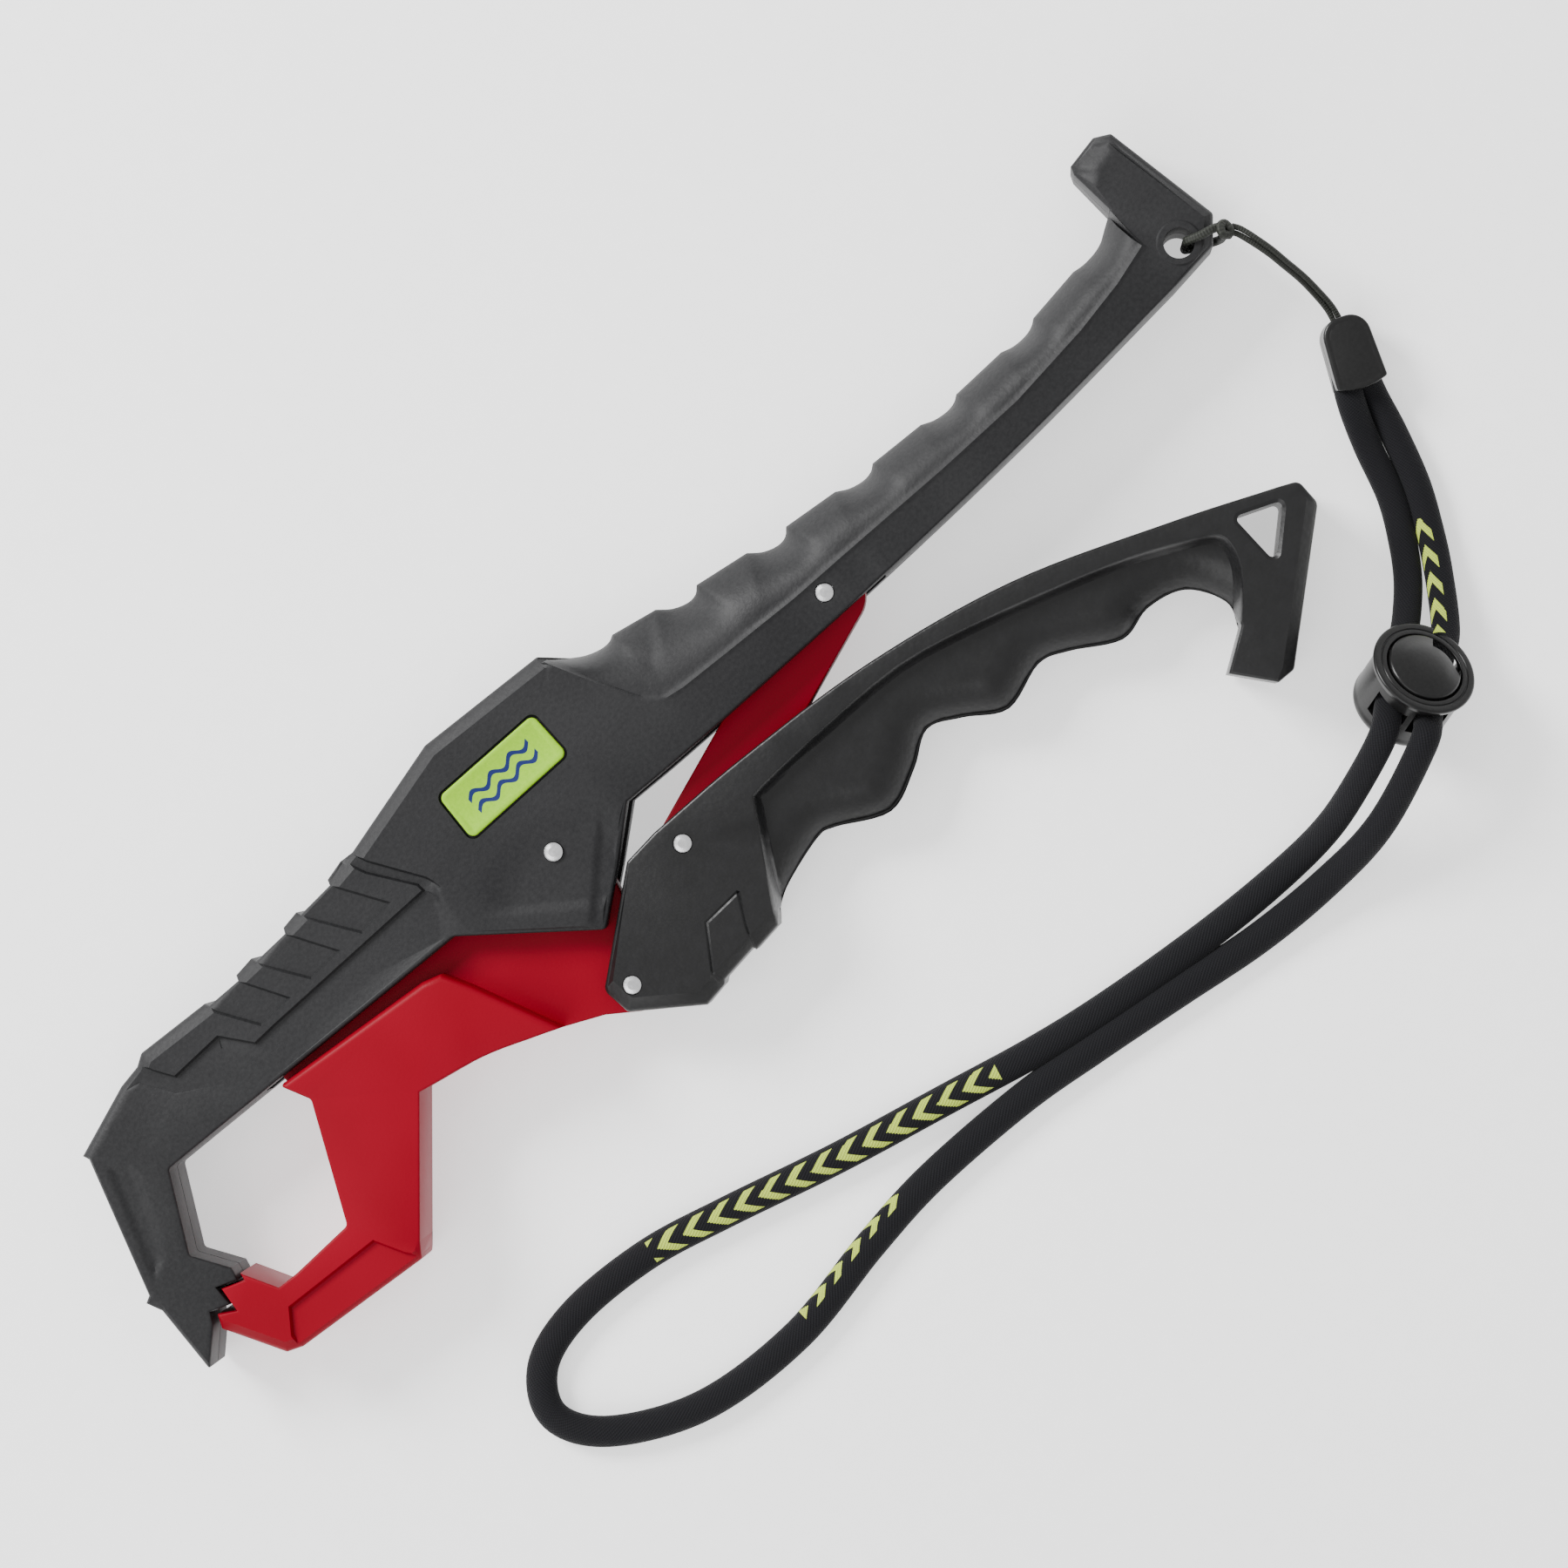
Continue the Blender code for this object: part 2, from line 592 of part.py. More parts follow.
def make_cap(material, parts, cutters):
    """The clamp that joins the string to the strap, split into two halves along its middle."""
    heading = math.radians(CAP_HEADING)
    turn = Matrix.Rotation(heading, 4, "Z") @ Matrix.Rotation(math.radians(CAP_TILT), 4, "X")
    place = Matrix.Translation(placed(*CAP_CENTRE)) @ turn
    half_length = CAP_LENGTH / 2
    half_width = CAP_WIDTH / 2
    outline = rounded([
        (-half_length, half_width * 0.8, 3.0), (-half_length, -half_width * 0.8, 3.0),
        (half_length - 1.0, -half_width, 0.8), (half_length, 0.0), (half_length - 1.0, half_width, 0.8),
    ])
    centre = [Vector(p) + Vector(TOOL_MIDDLE) for p in outline]
    halves = []
    for name, low, high in (
        ("cap_front", PART_GAP / 2, CAP_THICKNESS / 2),
        ("cap_back", -CAP_THICKNESS / 2, -PART_GAP / 2),
    ):
        half = plate(name, centre, low, high, material, parts)
        half.matrix_world = place
        mouth = box(name + "_string_mouth", (9.0, 4.2, 2.8), (-half_length, 0, 0), material, cutters)
        mouth.matrix_world = place
        combine(half, mouth)
        halves.append(half)
    return halves


def make_lock(body_material, spring_material, parts, cutters):
    """A spring-loaded cord lock: a barrel, a plunger with the button on top, and a spring below it."""
    place = lock_matrix()
    barrel = turned("lock_barrel", (
        (0.0, -5.0), (PLUNGER_RADIUS + 0.2, -5.0), (PLUNGER_RADIUS + 0.2, 4.6), (8.0, 4.6), (8.55, 4.2),
        (8.55, 3.3), (8.2, 3.0), (LOCK_RADIUS, 3.0), (LOCK_RADIUS, -4.8), (7.4, -6.2), (6.3, -7.2), (0.0, -7.2),
    ), body_material, parts, steps=32)
    barrel.matrix_world = place
    button = turned("lock_button", (
        (0.0, 5.9), (2.6, 5.75), (4.6, 5.4), (5.7, 4.9), (PLUNGER_RADIUS, 4.3), (PLUNGER_RADIUS, -2.5),
        (5.6, -3.1), (0.0, -3.1),
    ), body_material, parts, steps=32)
    button.matrix_world = place
    to_local = place.inverted()
    along = to_local.to_3x3() @ strand_direction()
    lean = math.atan2(along.z, along.x)
    for owner, height, rise in ((barrel, 5.8, 0.0), (button, 6.8, 0.8)):
        for side in (1, -1):
            centre = to_local @ placed(*strand_in_lock(side, 0.0))
            name = f"{owner.name}_window_{'inner' if side > 0 else 'outer'}"
            window = box(name, (24.0, 5.2, height), (0, 0, 0), body_material, cutters)
            shift = centre + Vector((0, 0, rise * MM))
            window.matrix_world = place @ Matrix.Translation(shift) @ Matrix.Rotation(-lean, 4, "Y")
            combine(owner, window)
    return [barrel, button, make_lock_spring(place, spring_material, parts)]


def make_lock_spring(place, material, parts):
    turns = 2.5
    steps = 30
    wire = 0.22
    points = []
    for i in range(steps + 1):
        share = i / steps
        angle = math.tau * turns * share
        radius = 4.6 - 1.6 * share
        local = Vector((radius * math.cos(angle), radius * math.sin(angle), -4.65 + 1.2 * share)) * MM
        points.append(place @ local)
    return tube("lock_spring", points, wire, material, parts)


def hang_on_pivot(name, place, children, parts):
    """Parents these objects to an empty on their joint's axis, without moving them."""
    pivot = bpy.data.objects.new(name, None)
    pivot.empty_display_size = 5 * MM
    pivot.location = place
    parts.objects.link(pivot)
    for child in children:
        child.parent = pivot
        child.matrix_parent_inverse = Matrix.Translation(-pivot.location)
    return pivot


def main():
    clear_scene()
    parts = make_collection("lip_grip")
    cutters = make_collection("cutters")
    black = make_material("black_plastic", (0.045, 0.045, 0.048), 0.55)
    grip_black = make_material("handle_plastic", (0.03, 0.03, 0.031), 0.45)
    red = make_material("red_plastic", (0.52, 0.004, 0.012), 0.4)
    lime = make_material("badge_lime", (0.43, 0.72, 0.07), 0.4)
    steel = make_material("pin_steel", (0.8, 0.8, 0.82), 0.25, 1.0)
    cord_black = make_material("lanyard_black", (0.012, 0.012, 0.014), 0.8)
    lock_black = make_material("lock_plastic", (0.02, 0.02, 0.02), 0.4)
    make_body(black, parts, cutters)
    make_badges(lime, parts)
    make_pin("jaw_pivot_pin", JAW_PIVOT, BODY_THICKNESS / 2, steel, parts)
    make_pin("link_body_pin", LINK_BODY_PIVOT, BODY_THICKNESS / 2, steel, parts)
    make_hitch(cord_black, parts)
    jaw = make_lower_jaw(red, parts, cutters)
    hang_on_pivot("jaw_pivot", placed(*JAW_PIVOT), [jaw], parts)
    link = make_link(red, parts, cutters)
    hang_on_pivot("link_pivot", placed(*LINK_BODY_PIVOT), [link], parts)
    handle = make_lower_handle(grip_black, parts, cutters)
    for name, place in (("link_handle_pin", LINK_HANDLE_PIVOT), ("jaw_handle_pin", JAW_HANDLE_PIVOT)):
        handle.append(make_pin(name, place, HANDLE_THICKNESS / 2, steel, parts))
    hang_on_pivot("handle_pivot", placed(*JAW_HANDLE_PIVOT), handle, parts)
    lanyard = [
        *make_strings(cord_black, parts), *make_cap(lock_black, parts, cutters), make_strap(cord_black, parts),
        *make_lock(lock_black, steel, parts, cutters),
    ]
    hang_on_pivot("lanyard_pivot", placed(*STRING_ROUTE[0]), lanyard, parts)


main()
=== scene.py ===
import math

import bmesh
import bpy
import numpy as np
from mathutils import Matrix, Vector
from mathutils.geometry import delaunay_2d_cdt


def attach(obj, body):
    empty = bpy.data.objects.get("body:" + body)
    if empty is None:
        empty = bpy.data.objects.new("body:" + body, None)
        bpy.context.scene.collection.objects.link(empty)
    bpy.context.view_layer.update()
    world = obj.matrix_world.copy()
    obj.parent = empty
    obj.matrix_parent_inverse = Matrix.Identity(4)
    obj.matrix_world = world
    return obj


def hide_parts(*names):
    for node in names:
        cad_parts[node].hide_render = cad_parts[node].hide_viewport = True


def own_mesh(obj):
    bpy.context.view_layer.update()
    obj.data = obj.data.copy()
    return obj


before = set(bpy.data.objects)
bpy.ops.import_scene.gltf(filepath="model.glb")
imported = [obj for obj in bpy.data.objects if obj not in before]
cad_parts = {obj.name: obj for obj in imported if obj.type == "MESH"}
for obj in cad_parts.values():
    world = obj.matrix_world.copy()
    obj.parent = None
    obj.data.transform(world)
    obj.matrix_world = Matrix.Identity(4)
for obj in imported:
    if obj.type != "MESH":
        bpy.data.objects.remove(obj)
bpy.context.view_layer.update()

# The plan view is drawn in millimetres from the jaw pivot: +X runs along the tool towards the hook
# end, +Y towards the back of the hand. placed() turns plan millimetres into world metres.
MM = 0.001
TOOL_MIDDLE = (23.77, -17.99)
MID_PLANE = 8.0
BODY_TOP = 16.0
HANDLE_TOP = 15.0
PART_GAP = 0.3
SLOT_HALF = 3.3
ARM_HALF = 3.0
ARM_EDGE = 0.3


def placed(x, y, z=0.0):
    return Vector(((x - TOOL_MIDDLE[0]) * MM, (y - TOOL_MIDDLE[1]) * MM, z * MM))


def add_object(name, data):
    """A new object in the scene that shows this mesh, camera or light."""
    obj = bpy.data.objects.new(name, data)
    bpy.context.scene.collection.objects.link(obj)
    return obj


# ---------------------------------------------------------------- camera

def axes_matrix(right, up, back, place):
    return Matrix((
        (right.x, up.x, back.x, place.x),
        (right.y, up.y, back.y, place.y),
        (right.z, up.z, back.z, place.z),
        (0, 0, 0, 1),
    ))


def make_camera():
    data = bpy.data.cameras.new("camera")
    data.lens = 108.84
    data.sensor_width = 36
    data.clip_start = 0.01
    camera = add_object("camera", data)
    eye = placed(66.75, -44.16, 762.0)
    aim = placed(33.45, -18.24, 16.0)
    forward = (aim - eye).normalized()
    right = forward.cross(Vector((1, 1, 0))).normalized()
    camera.matrix_world = axes_matrix(right, right.cross(forward), -forward, eye)
    bpy.context.scene.camera = camera


make_camera()


# ---------------------------------------------------------------- plan curves

def arc_corner(before, corner, after, radius, steps):
    """Points of a fillet of this radius at a corner."""
    point = Vector(corner)
    to_before = (Vector(before) - point).normalized()
    to_after = (Vector(after) - point).normalized()
    half = to_before.angle(to_after) / 2
    reach = radius / math.tan(half)
    centre = point + (to_before + to_after).normalized() * (radius / math.sin(half))
    start = point + to_before * reach - centre
    end = point + to_after * reach - centre
    turn = start.angle_signed(end)
    return [centre + Matrix.Rotation(-turn * i / steps, 2) @ start for i in range(steps + 1)]


def rounded(corners, steps=6):
    """A closed outline from (x, y) or (x, y, radius) corners."""
    points = []
    for i, corner in enumerate(corners):
        before = corners[i - 1][:2]
        after = corners[(i + 1) % len(corners)][:2]
        if len(corner) == 2:
            points.append(Vector(corner))
        else:
            points.extend(arc_corner(before, corner[:2], after, corner[2], steps))
    return [(p.x, p.y) for p in points]


def catmull_rom(a, b, c, d, t):
    return 0.5 * (
        2 * b + (c - a) * t + (2 * a - 5 * b + 4 * c - d) * t ** 2 + (3 * b - a - 3 * c + d) * t ** 3
    )


def smooth(route, steps):
    """A smooth open curve through all the route's points."""
    knots = [Vector(point) for point in route]
    knots = [2 * knots[0] - knots[1], *knots, 2 * knots[-1] - knots[-2]]
    points = []
    for a, b, c, d in zip(knots, knots[1:], knots[2:], knots[3:]):
        points.extend(catmull_rom(a, b, c, d, i / steps) for i in range(steps))
    return [tuple(p) for p in [*points, knots[-2]]]


def arc(centre, radius, first, last, steps):
    """Points on an arc between two angles in degrees."""
    turns = [math.radians(first + (last - first) * i / steps) for i in range(steps + 1)]
    return [(centre[0] + radius * math.cos(turn), centre[1] + radius * math.sin(turn)) for turn in turns]


def circle(centre, radius, steps=40):
    return [(centre[0] + radius * math.cos(math.tau * i / steps),
             centre[1] + radius * math.sin(math.tau * i / steps)) for i in range(steps)]


def heading_vector(degrees):
    angle = math.radians(degrees)
    return Vector((math.cos(angle), math.sin(angle), 0))


# ---------------------------------------------------------------- materials

class Nodes:
    """A short way to write a material's nodes."""

    def __init__(self, name):
        self.material = bpy.data.materials.new(name)
        self.material.use_nodes = True
        self.tree = self.material.node_tree
        self.shader = self.tree.nodes["Principled BSDF"]

    def put(self, socket, value):
        if isinstance(value, bpy.types.NodeSocket):
            self.tree.links.new(value, socket)
        else:
            socket.default_value = value

    def add(self, kind, output=0, options=None, **inputs):
        node = self.tree.nodes.new(kind)
        for key, value in (options or {}).items():
            setattr(node, key, value)
        for key, value in inputs.items():
            self.put(node.inputs[int(key[1:]) if key[1:].isdigit() else key.replace("_", " ")], value)
        return node.outputs[output]

    def math(self, operation, a, b=0.0):
        return self.add("ShaderNodeMath", 0, {"operation": operation}, i0=a, i1=b)

    def times(self, a, b):
        return self.math("MULTIPLY", a, b)

    def plus(self, a, b):
        return self.math("ADD", a, b)

    def noise(self, place, scale, detail=3.0, roughness=0.55):
        return self.add("ShaderNodeTexNoise", 0, None, Vector=place, Scale=scale, Detail=detail,
                        Roughness=roughness)

    def blend(self, share, below, above):
        return self.add("ShaderNodeMix", 2, {"data_type": "RGBA"}, i0=share, i6=below, i7=above)

    def mix(self, share, dark, light):
        return self.blend(share, (*dark, 1), (*light, 1))

    def split(self, vector):
        """The first two parts of a vector: along the piece and across or around it."""
        parts = self.tree.nodes.new("ShaderNodeSeparateXYZ")
        self.put(parts.inputs[0], vector)
        return parts.outputs[0], parts.outputs[1]

    def span(self, value, low, high, to_low=0.0, to_high=1.0):
        return self.add("ShaderNodeMapRange", 0, None, Value=value, From_Min=low, From_Max=high,
                        To_Min=to_low, To_Max=to_high)

    def bump(self, height, strength, distance, normal=None):
        inputs = {"Height": height, "Strength": strength, "Distance": distance}
        if normal is not None:
            inputs["Normal"] = normal
        return self.add("ShaderNodeBump", 0, None, **inputs)

    def place(self):
        return self.add("ShaderNodeTexCoord", 3)

    def finish(self, **inputs):
        for key, value in inputs.items():
            self.put(self.shader.inputs[key.replace("_", " ")], value)
        return self.material


def moulded_plastic(name, dark, light, grain, grain_strength, roughness, coat=0.0):
    """Moulded plastic with a fine spark-eroded grain, slightly mottled."""
    n = Nodes(name)
    place = n.place()
    fine = n.noise(place, grain, 2.0, 0.6)
    broad = n.noise(place, 55.0, 3.0)
    mottle = n.plus(n.times(fine, 0.6), n.times(broad, 0.4))
    color = n.mix(n.span(mottle, 0.35, 0.65), dark, light)
    relief = n.bump(fine, grain_strength, 0.00012)
    return n.finish(Base_Color=color, Roughness=n.span(broad, 0.3, 0.7, roughness - 0.05, roughness + 0.07),
                    Normal=relief, Specular_IOR_Level=0.27, Coat_Weight=coat, Coat_Roughness=0.25)


def leather_plastic(name):
    """The lower handle's plastic: a soft leather grain over a fine one."""
    n = Nodes(name)
    place = n.place()
    cells = n.add("ShaderNodeTexVoronoi", 0, {"feature": "SMOOTH_F1"}, Vector=place, Scale=1150.0)
    folds = n.noise(place, 420.0, 4.0, 0.6)
    fine = n.noise(place, 2600.0, 2.0)
    relief = n.bump(cells, 0.16, 0.0002)
    relief = n.bump(folds, 0.12, 0.0002, relief)
    color = n.mix(n.span(folds, 0.35, 0.65), (0.005, 0.005, 0.0053), (0.0075, 0.0075, 0.008))
    return n.finish(Base_Color=color, Roughness=n.span(fine, 0.3, 0.7, 0.32, 0.4), Specular_IOR_Level=0.42,
                    Normal=n.bump(fine, 0.15, 0.00006, relief))


def red_plastic(name):
    n = Nodes(name)
    place = n.place()
    fine = n.noise(place, 2100.0, 2.0)
    broad = n.noise(place, 40.0, 2.0)
    color = n.mix(n.span(broad, 0.3, 0.7), (0.22, 0.0001, 0.009), (0.26, 0.0002, 0.012))
    return n.finish(Base_Color=color, Roughness=n.span(broad, 0.3, 0.7, 0.36, 0.44),
                    Normal=n.bump(fine, 0.22, 0.00008), Specular_IOR_Level=0.1)


def pin_steel(name):
    """Bright rivet metal with a fine grain and a few scuffs."""
    n = Nodes(name)
    place = n.place()
    scuffs = n.noise(place, 900.0, 4.0, 0.7)
    fine = n.noise(place, 4200.0, 2.0)
    color = n.mix(n.span(scuffs, 0.3, 0.7), (0.78, 0.78, 0.79), (0.9, 0.9, 0.91))
    return n.finish(Base_Color=color, Metallic=1.0, Roughness=n.span(scuffs, 0.3, 0.7, 0.2, 0.36),
                    Normal=n.bump(fine, 0.12, 0.00005))


def badge_finish(name, middle):
    """Lime plate with three generic navy ripples across it."""
    n = Nodes(name)
    place = n.place()
    shifted = n.add("ShaderNodeVectorMath", 0, {"operation": "SUBTRACT"}, i0=place, i1=middle)
    along, across = n.split(shifted)
    wave = n.times(n.math("SINE", n.times(along, 1500.0)), 0.0006)
    level = n.plus(across, wave)
    row = n.math("ABSOLUTE", n.math("PINGPONG", n.plus(level, 0.0011), 0.0011))
    ink = n.times(n.math("LESS_THAN", row, 0.0004), n.math("LESS_THAN", n.math("ABSOLUTE", level), 0.0024))
    ink = n.times(ink, n.math("LESS_THAN", n.math("ABSOLUTE", along), 0.0066))
    fine = n.noise(place, 1800.0, 2.0)
    lime = n.mix(n.span(fine, 0.3, 0.7), (0.27, 0.56, 0.012), (0.32, 0.62, 0.02))
    color = n.blend(ink, lime, (0.012, 0.022, 0.12, 1))
    return n.finish(Base_Color=color, Roughness=n.span(fine, 0.3, 0.7, 0.38, 0.46),
                    Specular_IOR_Level=0.2, Normal=n.bump(fine, 0.12, 0.00006))


def woven(name, patches):
    """Woven tube: a fine twill with lime knit chevrons on some stretches. U is millimetres along."""
    n = Nodes(name)
    along, around = n.split(n.add("ShaderNodeTexCoord", 2))
    twill = n.math("SINE", n.plus(n.times(along, 9.0), n.times(around, 170.0)))
    ribs = n.math("SINE", n.math("SUBTRACT", n.times(along, 17.0), n.times(around, 120.0)))
    weave = n.plus(n.times(twill, 0.6), n.times(ribs, 0.4))
    fuzz = n.noise(n.place(), 2300.0, 3.0)
    thread = n.span(n.plus(weave, n.times(fuzz, 1.5)), -0.6, 2.2)
    black = n.mix(thread, (0.002, 0.002, 0.0028), (0.009, 0.009, 0.0115))
    lime = n.mix(thread, (0.36, 0.48, 0.045), (0.62, 0.76, 0.11))
    ink = 0.0
    for start, end, low, high in patches:
        middle = (low + high) / 2
        band = n.math("ABSOLUTE", n.math("SUBTRACT", around, middle))
        slant = n.plus(along, n.times(band, 22.0))
        cell = n.math("FRACT", n.math("DIVIDE", n.math("SUBTRACT", slant, start), 4.6))
        ragged = n.plus(cell, n.times(twill, 0.03))
        mark = n.times(n.math("LESS_THAN", ragged, 0.42), n.math("LESS_THAN", band, (high - low) / 2))
        mark = n.times(mark, n.math("GREATER_THAN", along, start))
        mark = n.times(mark, n.math("LESS_THAN", along, end))
        ink = n.math("MAXIMUM", ink, mark)
    color = n.blend(ink, black, lime)
    height = n.plus(weave, n.times(ink, 1.2))
    return n.finish(Base_Color=color, Roughness=n.span(fuzz, 0.3, 0.7, 0.72, 0.85),
                    Specular_IOR_Level=0.2, Sheen_Weight=0.05, Sheen_Roughness=0.5,
                    Normal=n.bump(height, 0.5, 0.00012))


def braided(name):
    """Thin braided string: crossing strands, slightly olive. U is millimetres along."""
    n = Nodes(name)
    along, around = n.split(n.add("ShaderNodeTexCoord", 2))
    turn = n.times(around, math.tau * 3)
    left = n.math("SINE", n.plus(n.times(along, 7.0), turn))
    right = n.math("SINE", n.math("SUBTRACT", n.times(along, 7.0), turn))
    braid = n.times(left, right)
    fuzz = n.noise(n.place(), 3000.0, 2.0)
    color = n.mix(n.span(braid, -1.0, 1.0), (0.005, 0.006, 0.004), (0.022, 0.025, 0.018))
    return n.finish(Base_Color=color, Roughness=n.span(fuzz, 0.3, 0.7, 0.6, 0.75),
                    Normal=n.bump(n.plus(braid, fuzz), 0.6, 0.0001))


def give_surface(mesh, material, sharp):
    """One material, and smooth shading wherever faces meet at less than the sharp angle in degrees."""
    mesh.materials.clear()
    mesh.materials.append(material)
    mesh.shade_smooth()
    mesh.set_sharp_from_angle(angle=math.radians(sharp))


# ---------------------------------------------------------------- tubes

def tube_mesh(name, points, half_width, half_height, material, steps=20):
    """A soft tube along points in metres; U counts millimetres along it, V runs round it from its left."""
    line = [Vector(p) for p in points]
    verts = []
    faces = []
    travelled = [0.0]
    for a, b in zip(line, line[1:]):
        travelled.append(travelled[-1] + (b - a).length / MM)
    for i, place in enumerate(line):
        run = (line[min(i + 1, len(line) - 1)] - line[max(i - 1, 0)]).normalized()
        side = Vector((-run.y, run.x, 0)).normalized()
        rise = run.cross(side)
        width = half_width(travelled[i], travelled[-1]) * MM
        for j in range(steps):
            angle = math.tau * j / steps
            verts.append(place + side * width * math.cos(angle) + rise * half_height * MM * math.sin(angle))
    for i in range(len(line) - 1):
        for j in range(steps):
            k = (j + 1) % steps
            faces.append((i * steps + j, i * steps + k, (i + 1) * steps + k, (i + 1) * steps + j))
    faces.append(tuple(range(steps)))
    faces.append(tuple(reversed(range(len(verts) - steps, len(verts)))))
    mesh = bpy.data.meshes.new(name)
    mesh.from_pydata(verts, [], faces)
    mesh.materials.append(material)
    layer = mesh.uv_layers.new(name="along")
    for index, face in enumerate(mesh.polygons):
        column = index % steps
        for loop in face.loop_indices:
            vertex = mesh.loops[loop].vertex_index
            around = vertex % steps
            if around == 0 and column == steps - 1 and index < len(faces) - 2:
                around = steps
            layer.data[loop].uv = (travelled[vertex // steps], around / steps)
    mesh.shade_smooth()
    return add_object(name, mesh)


# ---------------------------------------------------------------- lanyard

LANYARD_HOLE = (137.3, -2.1)
LOCK_CENTRE = (114.7, -77.1, 10.1)
LOCK_TILT = 40.0
LOCK_HEADING = 14.0
STRAND_HEADING = 31.5
STRAND_SLOPE = 30.0
STRAND_OFFSET = 3.2


def strand_direction():
    """The way both strands run through the lock, towards the cap and down to the surface."""
    slope = math.radians(STRAND_SLOPE)
    return heading_vector(STRAND_HEADING) * math.cos(slope) - Vector((0, 0, math.sin(slope)))


def strand_in_lock(side, distance):
    """A point on one of the two strands, this far from the lock's middle."""
    along = strand_direction()
    across = Vector((0, 0, 1)).cross(along).normalized()
    return Vector(LOCK_CENTRE) + Vector((0.25, 0.08, 0.3)) + across * STRAND_OFFSET * side + along * distance


STRAND_FROM_CAP = (
    (142.6, -34.2, 4.6), (139.6, -38.9, 4.5), (136.8, -45.4, 2.8), (133.8, -53.7, 2.15),
    (130.2, -59.9, 2.15), (126.2, -65.1, 2.9),
)
LOOP_ROUTE = (
    (97.4, -81.9, 12.6), (89.7, -83.8, 7.2), (81.1, -84.2, 3.0), (68.6, -83.3, 2.15), (54.9, -81.4, 2.15),
    (41.6, -79.0, 2.15), (30.0, -76.2, 2.15), (15.5, -71.9, 2.15), (-3.5, -66.3, 2.15), (-22.3, -59.9, 2.15),
    (-36.3, -55.7, 2.15), (-50.9, -54.2, 2.15), (-61.0, -56.6, 2.15), (-65.4, -63.6, 2.15),
    (-60.5, -71.8, 2.15), (-46.6, -79.4, 2.15), (-28.1, -81.9, 2.15), (-9.7, -79.9, 2.15),
    (4.9, -79.1, 2.15), (23.9, -80.4, 2.15), (38.1, -82.8, 2.15), (53.7, -85.8, 2.15), (69.0, -88.8, 2.15),
    (83.2, -90.0, 4.2), (95.4, -89.2, 10.0),
)
STRAND_TO_CAP = (
    (130.7, -67.4, 2.6), (134.6, -61.4, 2.15), (138.1, -55.0, 2.15), (141.2, -46.9, 2.15),
    (143.0, -40.9, 2.6), (144.6, -36.2, 4.2),
)


def strap_half_width(travelled, total):
    """Half the strap's width in millimetres: wider on the loop than between the lock and the cap."""
    from_end = min(travelled, total - travelled)
    opened = min(max((from_end - 68.0) / 40.0, 0.0), 1.0)
    return 2.3 + 0.25 * opened * opened * (3 - 2 * opened)


def length_of(points):
    """The length of a line of points, in their own unit."""
    return sum((Vector(b) - Vector(a)).length for a, b in zip(points, points[1:]))


def make_strap():
    inner = [tuple(strand_in_lock(1, d)) for d in (11.0, 5.5, 0.0, -5.5, -11.0)]
    outer = [tuple(strand_in_lock(-1, d)) for d in (-11.0, -5.5, 0.0, 5.5, 11.0)]
    route = [*STRAND_FROM_CAP, *inner, *LOOP_ROUTE, *outer, *STRAND_TO_CAP]
    points = [placed(*p) for p in smooth(route, 10)]
    total = length_of(points) / MM
    patches = (
        (150.0, 213.0, 0.12, 0.38),
        (295.0, 320.0, 0.02, 0.2),
        (total - 46.0, total - 26.0, 0.04, 0.26),
    )
    strap = tube_mesh("strap", points, strap_half_width, 1.7, woven("strap_weave", patches), 24)
    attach(strap, "lanyard")
    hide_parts("wrist_strap")
    return strap, points


STRING_ROUTE = (
    (144.6, -6.3, 15.6), (145.3, -7.6, 15.3), (145.9, -9.9, 15.0), (146.6, -13.0, 13.8), (147.1, -16.0, 11.8),
    (147.7, -19.4, 9.0), (147.9, -22.8, 6.6), (147.8, -25.6, 5.3), (147.2, -28.0, 4.8), (146.3, -30.4, 4.7),
)
STRING_RADIUS = 0.47


def make_string():
    """Both legs of the thin string: one length, folded inside the cap."""
    middle = [Vector(p) for p in smooth(STRING_ROUTE, 8)]
    legs = {1: [], -1: []}
    for side, leg in legs.items():
        for i, place in enumerate(middle):
            run = middle[min(i + 1, len(middle) - 1)] - middle[max(i - 1, 0)]
            across = Vector((-run.y, run.x, 0)).normalized()
            twist = math.radians(80) * math.sin(math.pi * i / (len(middle) - 1)) * 0.5
            offset = across * math.cos(twist) + Vector((0, 0, math.sin(twist)))
            leg.append(place + offset * (STRING_RADIUS + 0.02) * side)
    end = middle[-1] + (middle[-1] - middle[-2]).normalized() * 1.0
    points = [placed(*p) for p in [*legs[1], end, *reversed(legs[-1])]]
    string = tube_mesh("string", points, lambda travelled, total: STRING_RADIUS, STRING_RADIUS,
                       braided("string_braid"), 14)
    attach(string, "lanyard")
    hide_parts("string_left", "string_right")
    return string, points


HITCH_HEADING = -29.0
HITCH_RADIUS = 0.72


